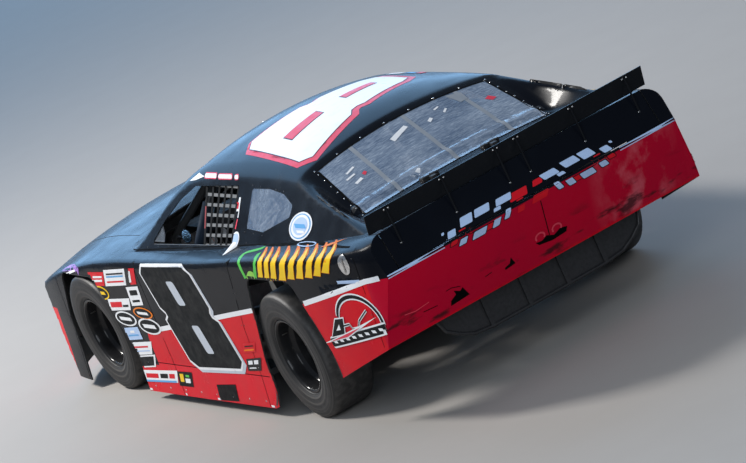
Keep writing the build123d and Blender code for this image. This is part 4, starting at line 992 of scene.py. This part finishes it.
# Tail damage: the seam in the middle, tears with dark edges, scrapes, rub loops and the ring of the vent
tears = [
    [(-0.150, 0.556), (-0.110, 0.566), (-0.070, 0.548), (-0.030, 0.566), (0.000, 0.552), (0.036, 0.556),
     (0.020, 0.538), (-0.060, 0.526), (-0.140, 0.532)],
    [(0.165, 0.515), (0.184, 0.556), (0.196, 0.528), (0.225, 0.520), (0.226, 0.508)],
    [(0.440, 0.488), (0.470, 0.542), (0.486, 0.530), (0.520, 0.548), (0.512, 0.524), (0.545, 0.505),
     (0.550, 0.480)],
]
for tear in tears:
    on_tail(tear, seam_black)
for line, width, tone in (
        ([(-0.036, 0.750), (-0.046, 0.560)], 0.005, seam_black),
        ([(0.480, 0.552), (0.530, 0.568), (0.560, 0.566)], 0.004, seam_black),
        ([(0.62, 0.520), (0.70, 0.526)], 0.004, seam_black),
        ([(0.30, 0.535), (0.34, 0.530)], 0.004, seam_black),
        ([(0.66, 0.560), (0.74, 0.552), (0.80, 0.562)], 0.004, rose)):
    on_tail(ribbon(line, width), tone)
for y in (0.006, -0.092):
    on_tail(ribbon(arc(y, 0.576, 0.026, 0.020, -0.6, math.pi * 1.2, 12), 0.009), rose, 2, 0.012)
on_tail(disc(0.787, 0.935, 0.019, 0.019), white)
on_tail(disc(0.787, 0.935, 0.014, 0.014), gloss_black, 2)

# Scuffed rubber patch on the skirt, short painted highlights along the skirt's crease, seams between the
# fixed panels
patch = [(1.176, 0.060), (0.918, 0.068), (0.888, 0.163), (1.153, 0.147)]
rib_count = 5
livery.both(patch, black_plastic, 2)
for k in range(rib_count):
    share = (k + 0.5) / rib_count
    livery.both(ribbon([between(patch, share, 0.08), between(patch, share, 0.92)], 0.006), charcoal, 3)
# short white ribbons: painted highlights on the skirt's crease
for start, end in ((2.156, 2.120), (1.660, 1.625), (1.204, 1.165), (0.500, 0.460)):
    livery.both(ribbon([(start, 0.066), (end, 0.066)], 0.012), white, 2)
seams = [
    [(0.310, 0.890), (0.445, 0.500), (0.515, 0.060)],
    [(1.660, 0.842), (1.660, 0.060)],
    [(-1.130, 0.940), (-1.130, 0.450)],
    [(1.870, 0.836), (-1.050, 0.940)],
    [(3.085, 0.690), (3.085, 0.075)],
    [(2.140, sill_z), (0.380, sill_z)],
]
for line in seams:
    livery.both(ribbon(line, 0.004), seam_black, 0.8)

# Dark rubber edging round the wheel openings
arches = [
    [(-0.560, 0.270), (-0.558, 0.410), (-0.375, 0.785), (0.148, 0.785), (0.350, 0.320), (0.362, 0.140),
     (0.440, 0.057)],
    [(2.170, 0.057), (2.150, 0.280), (2.400, 0.702), (2.930, 0.702), (3.066, 0.430), (3.062, 0.070)],
]
for line in arches:
    livery.both(ribbon(rounded(line, 0.062, 8), 0.014), edging, 1.5, 0.015)

# Generic lamp shapes on the nose: pale lens, dark rim
lens = [(0.86, 0.520), (0.62, 0.550), (0.50, 0.505), (0.56, 0.470), (0.84, 0.452)]
glint = [(0.80, 0.508), (0.64, 0.532), (0.58, 0.506), (0.78, 0.474)]
for sign in (1, -1):
    lamp, shine = ([(sign * y, z) for y, z in outline] for outline in (lens, glint))
    for outline, tone, level in (
            (grown(lamp, 0.012), gloss_black, 1), (lamp, pale_blue, 2), (shine, white, 3)):
        livery.lay("nose", outline, tone, level, 0.02)
livery.finish()
lid_livery.finish()


def dome(bm, place, normal, radius, height):
    """A low fastener head standing on a surface."""
    turn = normal.to_track_quat("Z", "Y").to_matrix()
    rings = [corner_ring(bm, [place + turn @ Vector((a, b, h)) for a, b in circle(r, 8)])
             for r, h in ((radius, 0.0), (radius * 0.92, height * 0.6), (radius * 0.5, height))]
    walls(bm, rings)
    bm.faces.new(rings[-1])


def fasteners(name, rows, body=CAR, material=bright_steel):
    """Rows of heads on the skin: view, start, end, pitch, radius."""
    bm = bmesh.new()
    for view, start, end, pitch, radius in rows:
        start, end = Vector(start), Vector(end)
        count = max(1, round((end - start).length / pitch))
        for i in range(count + 1):
            spot = start.lerp(end, i / count)
            place, normal = landed(view, spot.x + origin_of(view), spot.y, body)
            if place is not None:
                dome(bm, place, normal, radius, radius * 0.45)
    shown(name, bm, [material], body)


glass_rows = [("top", (-0.163, -0.515), (-0.163, 0.515), 0.147, 0.005),
              ("top", (1.235, -0.50), (1.235, 0.50), 0.125, 0.004)]
for sign in (1, -1):
    glass_rows += [("top", (-0.20, sign * 0.517), (-0.63, sign * 0.556), 0.062, 0.004),
                   ("top", (1.27, sign * 0.535), (1.74, sign * 0.655), 0.085, 0.004)]
side_rows = [(side, start, end, pitch, 0.0035) for side in ("left", "right") for start, end, pitch in (
    ((0.295, 0.875), (0.425, 0.515), 0.090), ((0.325, 0.875), (0.462, 0.515), 0.090),
    ((-1.115, 0.90), (-1.115, 0.52), 0.095), ((3.07, 0.64), (3.07, 0.12), 0.110),
    ((1.80, 0.848), (0.35, 0.898), 0.145), ((0.43, 1.125), (0.02, 1.107), 0.100),
    ((0.40, 0.942), (0.17, 0.932), 0.100))]
skirt_rows = [(side, (2.05, 0.090), (0.55, 0.090), 0.21, 0.005) for side in ("left", "right")]
brace_places = (0.69, 0.37, 0.058, -0.062, -0.385, -0.705)
lid_rows = [("tail", (y, 0.893), (y, 0.893), 1, 0.0065) for y in brace_places]
lid_rows.append(("top", (-0.76, -0.52), (-0.76, 0.52), 0.26, 0.005))
fasteners("glass_fasteners", glass_rows)
fasteners("panel_fasteners", side_rows, material=black_steel)
fasteners("skirt_fasteners", skirt_rows)
fasteners("lid_fasteners", lid_rows, "deck_lid")
blade_bolts = bmesh.new()
for y in brace_places:
    for reach in (-0.012, 0.012):
        dome(blade_bolts, at(-1.2805, y + reach, 1.070), Vector((-0.93, 0, -0.36)), 0.0055, 0.004)
shown("blade_bolts", blade_bolts, [bright_steel], "deck_lid")


def turned(bm, profile, count=96, material=0, centre=(0, 0, 0)):
    """Adds a surface turned about the local Y axis; profile is (y, radius) points."""
    walls(bm, [corner_ring(bm, [Vector(centre) + Vector((a, y, b)) for a, b in circle(radius, count)])
               for y, radius in profile], material)


def capped(bm, y, radius, count, material=0):
    """A flat disc across the local Y axis."""
    ring = corner_ring(bm, [(a, y, b) for a, b in circle(radius, count)])
    bm.faces.new(ring).material_index = material


# Wheel profiles: y from the wheel's middle plane outwards, and radius
tyre_half = [
    (0.1057, 0.1908), (0.1060, 0.2020), (0.1090, 0.2062), (0.1130, 0.2080), (0.1135, 0.2110),
    (0.1160, 0.2150), (0.1195, 0.2200), (0.1225, 0.2300), (0.1232, 0.2320), (0.1225, 0.2345),
    (0.1252, 0.2470), (0.1268, 0.2620), (0.1270, 0.2740), (0.1262, 0.2765), (0.1266, 0.2790),
    (0.1258, 0.2960), (0.1240, 0.3100), (0.1232, 0.3125), (0.1225, 0.3180), (0.1180, 0.3285),
    (0.1110, 0.3365), (0.1010, 0.3410), (0.0850, 0.3436), (0.0500, 0.3447), (0.0, 0.3450)]
tyre_profile = tyre_half + [(-y, r) for y, r in reversed(tyre_half[:-1])]
rim_profile = [
    (0.1060, 0.1905), (0.1062, 0.2005), (0.1085, 0.2023), (0.1108, 0.2018), (0.1120, 0.1990),
    (0.1114, 0.1930), (0.1090, 0.1890), (0.1060, 0.1868), (0.0980, 0.1835), (0.0640, 0.1826),
    (0.0460, 0.1822), (0.0400, 0.1790), (0.0320, 0.1700), (0.0260, 0.1640), (0.0180, 0.1628),
    (-0.0180, 0.1628), (-0.0260, 0.1650), (-0.0400, 0.1790), (-0.0460, 0.1822), (-0.1060, 0.1830),
    (-0.1110, 0.1880), (-0.1120, 0.1990), (-0.1085, 0.2023), (-0.1060, 0.1990), (-0.1060, 0.1905)]
rim_back = [(-0.106, 0.1905), (-0.04, 0.1905), (-0.025, 0.1705), (0.025, 0.1705), (0.04, 0.1905),
            (0.106, 0.1905)]
hub_profile = [(0.0, 0.0895), (0.001, 0.080), (0.004, 0.078), (0.004, 0.048), (0.030, 0.046), (0.034, 0.042),
               (0.034, 0.020), (0.026, 0.018)]
hub_lip = [(0.0, 0.0895), (-0.0002, 0.088)]
brake_profile = [(-0.100, 0.060), (-0.100, 0.096), (-0.1002, 0.150), (-0.1085, 0.150), (-0.1085, 0.144),
                 (-0.1135, 0.144), (-0.1135, 0.150), (-0.1218, 0.150), (-0.1220, 0.096), (-0.1220, 0.030)]
brake_bell = [(-0.100, 0.060), (-0.012, 0.060), (-0.012, 0.088)]
valve = [(0.055, 0.0035), (0.085, 0.003)]
vent_count = 10
nut_count = 5
nut_circle = 0.0635
swell_at, swell_half = 0.095, 0.030       # radius of the pressed disc's raised ring, and half its width


def disc_height(radius):
    """How far the pressed centre disc stands out at a radius, from the wheel's middle plane."""
    if radius > swell_at + swell_half:
        return -0.004 - (radius - swell_at - swell_half) * 0.10
    if radius > swell_at - swell_half:
        return -0.004 + 0.010 * math.cos((radius - swell_at) / swell_half * math.pi / 2)
    return 0.0


def vented_disc(bm, sign):
    """The pressed disc with a ring of round holes, one in each sector."""
    steps = 24
    inner, outer, hole_radius, hole_depth = 0.088, 0.164, 0.013, 0.008
    hole_centre = Vector((0.136, 0))
    sector = 2 * math.pi / vent_count
    for k in range(vent_count):
        spin = Matrix.Rotation(sector * k, 2)
        edge, hole = [], []
        for i in range(steps):
            side, share = divmod(4 * i / steps, 1)
            radius, turn = [(inner, -1 + 2 * share), (inner + (outer - inner) * share, 1),
                            (outer, 1 - 2 * share), (outer - (outer - inner) * share, -1)][int(side)]
            corner = Matrix.Rotation(turn * sector / 2, 2) @ Vector((radius, 0))
            edge.append(spin @ corner)
            hole.append(spin @ (hole_centre + (corner - hole_centre).normalized() * hole_radius))
        walls(bm, [corner_ring(bm, [(p.x, sign * (disc_height(p.length) - drop), p.y) for p in points])
                   for points, drop in ((edge, 0), (hole, 0), (hole, hole_depth))])


def hexagon(bm, x, z, y0, y1, radius, material):
    """A hexagonal nut whose axis is local Y."""
    rings = [corner_ring(bm, [(x + a, y, z + b) for a, b in circle(r, 6)])
             for y, r in ((y0, radius), (y1 - (y1 - y0) * 0.15, radius), (y1, radius * 0.82))]
    walls(bm, rings, material)
    bm.faces.new(rings[-1]).material_index = material


def wheel(name, sign):
    """One tyre and one rim with its brake disc, as finer meshes whose origin is the wheel's centre."""
    tyre, rim = bmesh.new(), bmesh.new()
    for bm, profile, count, material, *centre in (
            (tyre, tyre_profile, 96, 0), (rim, rim_profile, 96, 0), (rim, rim_back, 96, 0),
            (rim, hub_profile, 48, 0), (rim, hub_lip, 48, 0), (rim, brake_profile, 72, 2),
            (rim, brake_bell, 48, 2), (rim, valve, 8, 1, (0.150, 0, 0.098))):
        turned(bm, [(sign * y, r) for y, r in profile], count, material, *centre)
    vented_disc(rim, sign)
    capped(rim, sign * hub_profile[-1][0], hub_profile[-1][1], 24)
    for k in range(nut_count):
        angle = 2 * math.pi * (k + 0.25) / nut_count
        hexagon(rim, nut_circle * math.cos(angle), nut_circle * math.sin(angle),
                sign * 0.004, sign * 0.024, 0.0135, 1)
    for bm, part, looks in ((tyre, "tyre", [rubber]), (rim, "rim", [wheel_black, bare_steel, brake_steel])):
        bmesh.ops.recalc_face_normals(bm, faces=bm.faces)
        piece = shown(f"{part}_{name}_mesh", bm, looks, f"wheel_{name}",
                      place=centre_of(f"tyre_{name}"), sharp=35)
        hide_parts(f"{part}_{name}")


for end in ("front", "rear"):
    for side, sign in (("left", 1), ("right", -1)):
        wheel(f"{end}_{side}", sign)

# Dark edge strips round the rear pane, three straps under it and bits of tape on it
glass_trim = Livery("glass_trim")
pane = [(-0.175, 0.505), (-0.640, 0.545), (-0.640, -0.545), (-0.175, -0.505)]
for start, end in zip(pane, pane[1:] + pane[:1]):
    glass_trim.top(ribbon([start, end], 0.010), seam_black, 1.5)
for y in (0.30, -0.02, -0.33):
    glass_trim.top(ribbon([(-0.180, y), (-0.63, y * 1.06)], 0.022), strap_grey)
tape = [
    ([(-0.250, 0.020), (-0.285, 0.130), (-0.315, 0.122), (-0.272, 0.010)], white),
    ([(-0.345, 0.400), (-0.350, 0.455), (-0.362, 0.452), (-0.356, 0.398)], white),
    ([(-0.300, 0.375), (-0.315, 0.430), (-0.325, 0.425), (-0.312, 0.370)], white),
    ([(-0.395, 0.395), (-0.405, 0.440), (-0.420, 0.435), (-0.412, 0.390)], white),
    ([(-0.370, 0.355), (-0.378, 0.375), (-0.400, 0.370), (-0.388, 0.350)], rose),
    ([(-0.285, -0.110), (-0.300, -0.085), (-0.318, -0.092), (-0.300, -0.118)], white),
    ([(-0.235, -0.190), (-0.245, -0.160), (-0.254, -0.165), (-0.243, -0.195)], white),
    ([(-0.270, -0.210), (-0.290, -0.185), (-0.300, -0.190), (-0.280, -0.216)], white),
    ([(-0.185, -0.270), (-0.275, -0.300), (-0.270, -0.345), (-0.205, -0.350)], strap_grey),
    ([(-0.305, -0.435), (-0.340, -0.460), (-0.352, -0.430), (-0.322, -0.405)], rose),
    ([(-0.560, 0.170), (-0.575, 0.195), (-0.590, 0.180), (-0.572, 0.160)], white),
]
for corners, tone in tape:
    glass_trim.top(corners, tone, 2)
glass_trim.finish()


def slab(bm, corners, thickness, material=0):
    """A thin plate from its outline in space."""
    points = [Vector(c) for c in corners]
    deep = (points[1] - points[0]).cross(points[2] - points[0]).normalized() * thickness
    tube(bm, [corner_ring(bm, points), corner_ring(bm, [p + deep for p in points])], material)


def strap(bm, points, sides, deeps, material=0):
    """A flat strap through points, with half its width and its thickness as vectors at each."""
    tube(bm, [corner_ring(bm, (p - side, p + side, p + side + deep, p - side + deep))
              for p, side, deep in zip(points, sides, deeps)], material)


# Window net: woven straps in the plane of the leaning side, inside the driver's window
net_corners = [(0.905, 0.858), (0.535, 0.866), (0.618, 1.130), (1.077, 1.136)]
net_inset = 0.0085
side_normal = Vector((0, 1, 0.83)).normalized()
net = bmesh.new()


def net_place(u, v, lift=0.0):
    """A place on the net, u from its front edge to its rear edge, v from low to high."""
    spot = between(net_corners, u, v)
    return at(spot.x, cab_side(spot.y) - net_inset, spot.y) - side_normal * lift


def net_strap(spots, lift, du, dv, width, material):
    """A strap through (u, v) places of the net, whose width runs the way of du and dv."""
    points = [net_place(u, v, lift) for u, v in spots]
    ways = [net_place(u + du, v + dv) - net_place(u - du, v - dv) for u, v in spots]
    sides = [way.normalized() * width / 2 for way in ways]
    strap(net, points, sides, [-side_normal * 0.0011] * len(points), material)


upright_count, level_count, samples = 5, 6, 31
run = [0.02 + 0.96 * i / (samples - 1) for i in range(samples)]
for k in range(upright_count + 1):
    net_strap([(0.03 + 0.94 * k / upright_count, v) for v in run], 0.0004, 0.01, 0, 0.024, 0)
for k in range(level_count + 1):
    net_strap([(u, 0.06 + 0.88 * k / level_count) for u in run], 0.0018, 0, 0.01, 0.018, 2)
pull = [net_place(0.02, v) for v in (0.30, 0.42, 0.54, 0.62)]
strap(net, pull, [Vector((0.008, 0, 0))] * 4, [-side_normal * 0.0012] * 4, 1)
net_piece = shown("net_straps", net, [black_web, red_web, grey_web], smooth=False)
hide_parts("window_net")

# Bucket seat bent from one sheet, from its front edge up: d, height, half width, reach of the side wings
seat_stations = [
    (1.110, 0.300, 0.180, 0.090), (1.000, 0.275, 0.185, 0.110), (0.850, 0.262, 0.188, 0.120),
    (0.760, 0.300, 0.190, 0.130), (0.715, 0.420, 0.190, 0.170), (0.690, 0.600, 0.185, 0.180),
    (0.665, 0.780, 0.180, 0.130), (0.640, 0.930, 0.150, 0.180), (0.628, 1.035, 0.120, 0.170)]
seat = bmesh.new()
seat_line = [station[:2] for station in seat_stations]
rings = []
for i, (d, z, half, wing) in enumerate(seat_stations):
    along = way_at(seat_line, i)
    left = [(half * 0.72, 0.0), (half - 0.006, wing * 0.25), (half, wing * 0.75), (half + 0.012, wing)]
    section = [(-y, lift) for y, lift in reversed(left)] + [(0, -0.004)] + left
    rings.append(corner_ring(seat, [at(d + abs(along.y) * lift, driver_y + y, z + abs(along.x) * lift)
                                    for y, lift in section]))
walls(seat, rings, closed=False)
bmesh.ops.recalc_face_normals(seat, faces=seat.faces)
shell = shown("seat_shell", seat, [seat_alloy])
shell.modifiers.new("wall", "SOLIDIFY").thickness = 0.004
smooth = shell.modifiers.new("smooth", "SUBSURF")
smooth.levels = smooth.render_levels = 2
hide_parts("seat")


def padded_box(bm, centre, size, crown, tilt=0.0):
    """A cushion: a rounded block, crowned in the middle of its broad faces, with its sides drawn in."""
    pinch = 0.12
    made = bmesh.ops.create_cube(bm, size=2)["verts"]
    edges = list(dict.fromkeys(e for v in made for e in v.link_edges))
    bmesh.ops.subdivide_edges(bm, edges=edges, cuts=7, use_grid_fill=True)
    turn = Matrix.Rotation(tilt, 3, "Y")
    for vert in [v for v in bm.verts if not v.tag]:
        u, v, w = vert.co
        inward = 1 - 0.10 * (u * u * v * v + v * v * w * w + u * u * w * w) / 2
        draw = 1 - pinch * (1 - abs(u) ** 3) * abs(v) ** 4 - pinch * (1 - abs(v) ** 3) * abs(u) ** 4
        swell = 1 + crown * (1 - u * u) * (1 - v * v)
        spot = Vector((u * size[0] * draw, v * size[1] * draw, w * size[2] * swell)) * inward / 2
        vert.co = turn @ spot + centre
        vert.tag = True


pads = bmesh.new()
back_tilt = -math.atan2(0.060, 0.48)
padded_box(pads, at(0.915, driver_y, 0.292), (0.300, 0.300, 0.040), 0.5)
padded_box(pads, at(0.730, driver_y, 0.640), (0.045, 0.270, 0.360), 0.0, back_tilt)
padded_box(pads, at(0.668, driver_y, 0.975), (0.040, 0.190, 0.140), 0.0, back_tilt)
pad_piece = shown("seat_pads", pads, [pad_cloth])

# Shoulder and lap belts: d, distance from the seat's middle and height; then the buckle
belts = bmesh.new()
belt_width, belt_thickness = 0.050, 0.002
for sign in (1, -1):
    for line in ([(0.670, 0.075, 0.880), (0.715, 0.075, 0.865), (0.765, 0.070, 0.700), (0.790, 0.055, 0.540),
                  (0.840, 0.020, 0.400)],
                 [(0.820, 0.165, 0.330), (0.850, 0.120, 0.345), (0.870, 0.030, 0.372)]):
        points = [at(d, driver_y + sign * y, z) for d, y, z in line]
        ways = [way_at(points, i) for i in range(len(points))]
        sides = [way.cross(Vector((1, 0, 0.3))).normalized() * belt_width / 2 for way in ways]
        deeps = [side.cross(way).normalized() * belt_thickness for side, way in zip(sides, ways)]
        strap(belts, points, sides, deeps)
turned(belts, [(0.0, 0.030), (0.010, 0.028), (0.012, 0.004)], 20, 1, at(0.872, driver_y, 0.388))
belt_piece = shown("seat_belts", belts, [red_web, bare_steel])


def facing(place, way):
    """The transform that sets a shape at a place, its local Y along a direction."""
    return Matrix.Translation(place) @ Vector(way).to_track_quat("Y", "Z").to_matrix().to_4x4()


# Steering wheel: padded rim, three spokes and a blue pad on the quick-release hub
column_head = at(1.290, driver_y, 0.800)
column_way = (column_head - at(1.900, driver_y, 0.640)).normalized()
steering = bmesh.new()
grip = [(0.014 * b, 0.185 + 0.0135 * a) for a, b in circle(1, 14)]
turned(steering, grip + grip[:1], 72)
turned(steering, [(-0.040, 0.010), (-0.040, 0.034), (-0.006, 0.036), (0.004, 0.038), (0.010, 0.036),
                  (0.012, 0.030)], 40, 1)
capped(steering, 0.012, 0.030, 40, 2)
for k in range(3):
    angle = math.pi / 2 + 2 * math.pi * k / 3
    along, across = (Vector((math.cos(a), 0, math.sin(a))) for a in (angle, angle + math.pi / 2))
    slab(steering, [along * reach + across * side for reach, side in (
        (0.032, -0.019), (0.175, -0.014), (0.175, 0.014), (0.032, 0.019))], 0.0045, 1)
bmesh.ops.recalc_face_normals(steering, faces=steering.faces)
steer_piece = shown("steering_wheel_mesh", steering, [grip_cloth, black_steel, sky_blue], "steering_wheel",
                    turn=facing(column_head + column_way * 0.017, column_way))
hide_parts("steering_wheel")


def pipe(bm, points, radius, material):
    """A round bar through points, with closed ends."""
    rings = []
    for i, point in enumerate(points):
        turn = way_at(points, i).to_track_quat("Z", "Y").to_matrix()
        rings.append(corner_ring(bm, [point + turn @ Vector((a, b, 0)) for a, b in circle(radius, 16)]))
    tube(bm, rings, material)


# Padded bar ahead of the net with bands round its foam, a pale stay on the sill and the mirror's stalk
bars = bmesh.new()
bar_line = [at(1.185, 0.505, 1.118), at(1.200, 0.600, 1.000), at(1.225, 0.700, 0.860),
            at(1.250, 0.760, 0.760), at(1.262, 0.800, 0.660)]
foam_start, foam_end = bar_line[1], bar_line[3]
pipe(bars, bar_line, 0.020, 1)
pipe(bars, bar_line[1:4], 0.030, 0)
for k in range(9):
    spot = foam_start.lerp(foam_end, 0.06 + 0.88 * k / 8)
    pipe(bars, [spot, spot + (foam_end - foam_start).normalized() * 0.006], 0.0308, 2)
pipe(bars, [at(1.573, 0.750, 0.768), at(1.329, 0.750, 0.818)], 0.008, 3)
pipe(bars, [at(1.500, 0.735, 0.860), at(1.452, 0.705, 0.852)], 0.005, 1)
shown("window_bars", bars, [pad_blue, cage_paint, black_plastic, white])

# Small oval mirror on the front post
glass = bmesh.new()
turned(glass, [(0.0, 0.006), (0.0, 0.030), (-0.012, 0.032), (-0.022, 0.022), (-0.026, 0.006)], 32, 1)
capped(glass, 0.0005, 0.0275, 32)
shown("side_mirror", glass, [mirror, black_plastic],
      turn=facing(at(1.445, 0.700, 0.850), (-0.92, 0.30, 0.10)) @ Matrix.Diagonal((0.8, 1, 1.25, 1)))

# Clear deflector in the front corner of each side window
deflector = bmesh.new()
for sign in (1, -1):
    slab(deflector, [at(d, sign * (cab_side(z) - 0.010), z) for d, z in (
        (1.600, 0.874), (1.455, 0.874), (1.470, 0.905), (1.560, 0.965), (1.588, 0.962))], 0.003)
shown("deflectors", deflector, [front_glass], smooth=False)

# Crumpled air duct behind each quarter window
duct = bmesh.new()
duct_corners = [(0.370, 0.925), (0.180, 0.920), (0.095, 0.985), (0.225, 1.070)]
across_count, along_count = 22, 12
for sign in (1, -1):
    rings = []
    for i in range(along_count + 1):
        points = []
        for k in range(across_count + 1):
            u, v = k / across_count, i / along_count
            spot = between(duct_corners, u, v)
            fold = 0.007 * math.sin(17 * u + 6 * v) * math.sin(9 * v + 3 * u)
            crease = 0.004 * math.sin(31 * u - 14 * v)
            deep = 0.030 + 0.035 * math.sin(math.pi * u) + fold + crease
            points.append(at(spot.x, sign * (cab_side(spot.y) - deep), spot.y))
        rings.append(corner_ring(duct, points))
    walls(duct, rings, closed=False)
bmesh.ops.recalc_face_normals(duct, faces=duct.faces)
shown("side_ducts", duct, [duct_skin]).modifiers.new("wall", "SOLIDIFY").thickness = 0.002

# Instruments on the leaning dash face: housing, pale face and needle
dash = bmesh.new()
for y, z, radius in ((0.400, 0.768, 0.040), (0.300, 0.765, 0.028), (0.500, 0.765, 0.028),
                     (0.220, 0.760, 0.024), (0.560, 0.750, 0.020)):
    start = len(dash.verts)
    turned(dash, [(depth, radius * share) for depth, share in (
        (0.0, 1.12), (0.012, 1.12), (0.014, 1.02), (0.008, 0.98))], 32)
    capped(dash, 0.008, radius * 0.98, 32, 1)
    slab(dash, [(side * 0.0015, 0.0085, reach * radius) for side, reach in (
        (-1, -0.2), (1, -0.2), (1, 0.75), (-1, 0.75))], 0.001, 2)
    dash.verts.ensure_lookup_table()
    face_d = 1.4973 - (z - 0.690) * 0.14
    bmesh.ops.transform(dash, matrix=facing(at(face_d, y, z), (-1, 0, 0.18)), verts=dash.verts[start:])
shown("gauges", dash, [black_plastic, white, orange])

# Frame and machinery keep their CAD shapes
node_looks = {}
for look, names in (
        (frame_grey, ("frame_rails", "front_clip", "rear_clip", "control_arms", "trailing_arms")),
        (sheet_alloy, ("floor_pan", "rear_bulkhead", "gearbox", "radiator")),
        (bare_steel, ("steering_column", "steering_link", "struts", "driveshaft", "exhaust_pipes")),
        (cast_iron, ("knuckle_left", "knuckle_right", "rear_axle", "engine")),
        (black_plastic, ("dashboard", "seat", "steering_wheel")), (black_steel, ("fuel_cell", "rear_pan")),
        (gloss_black, ("spoiler",)), (cage_paint, ("roll_cage",)), (black_web, ("window_net",))):
    node_looks.update({name: look for name in names})
for name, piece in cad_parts.items():
    piece.data.materials.clear()
    piece.data.materials.append(node_looks.get(name, rubber if name.startswith("tyre") else wheel_black))

# Floor, light and camera
floor_look = Look("pale_floor", (0.33, 0.32, 0.31), 0.8, specular_ior_level=0.2)
floor_tone = floor_look.mix(floor_look.noise(3, 3), (0.335, 0.315, 0.295), (0.355, 0.335, 0.315))
floor_look.set("Base Color", floor_tone)
ground = bmesh.new()
bmesh.ops.create_grid(ground, x_segments=1, y_segments=1, size=60)
floor = bpy.data.objects.new("floor", from_bmesh(ground, "floor"))
floor.data.materials.append(floor_look.material)
bpy.context.scene.collection.objects.link(floor)

world = bpy.data.worlds.new("studio")
bpy.context.scene.world = world
world.use_nodes = True
background = world.node_tree.nodes["Background"]
background.inputs["Color"].default_value = (0.70, 0.82, 1.0, 1)
background.inputs["Strength"].default_value = 0.30


def area_light(name, place, target, size, power, color=(1, 1, 1)):
    """A soft box aimed at a point."""
    lamp = bpy.data.lights.new(name, "AREA")
    lamp.shape = "SQUARE"
    lamp.size = size
    lamp.energy = power
    lamp.color = color
    rig = bpy.data.objects.new(name, lamp)
    bpy.context.scene.collection.objects.link(rig)
    rig.location = place
    rig.rotation_euler = (Vector(target) - Vector(place)).to_track_quat("-Z", "Y").to_euler()


area_light("key", (6.5, 5.0, 8.5), (0, 0, 0.5), 2.0, 1650, (1.0, 0.97, 0.93))
area_light("sky", (32.0, -7.0, 15.0), (0, 0, 1.5), 28.0, 7000, (0.30, 0.60, 1.0))
area_light("fill", (-9.0, 4.0, 4.0), (0, 0, 0.6), 5.0, 330, (0.86, 0.93, 1.0))
area_light("side", (-3.0, -9.0, 6.0), (0, 0, 0.6), 6.0, 160)

focal_pixels = 5101.11
image_width = 746
sensor_width = 36
camera_roll = math.radians(24.25)
camera = bpy.data.objects.new("camera", bpy.data.cameras.new("camera"))
bpy.context.scene.collection.objects.link(camera)
camera.data.sensor_width = sensor_width
camera.data.lens = focal_pixels * sensor_width / image_width
camera.data.clip_end = 200
look_along = Vector((0.9130, -0.3530, -0.2045)).normalized()
aim = look_along.to_track_quat("-Z", "Y").to_matrix()
camera.rotation_euler = (aim @ Matrix.Rotation(-camera_roll, 3, "Z")).to_euler()
camera.location = at(-23.158, 9.254, 5.904)
bpy.context.scene.camera = camera
bpy.context.scene.view_settings.view_transform = "Standard"
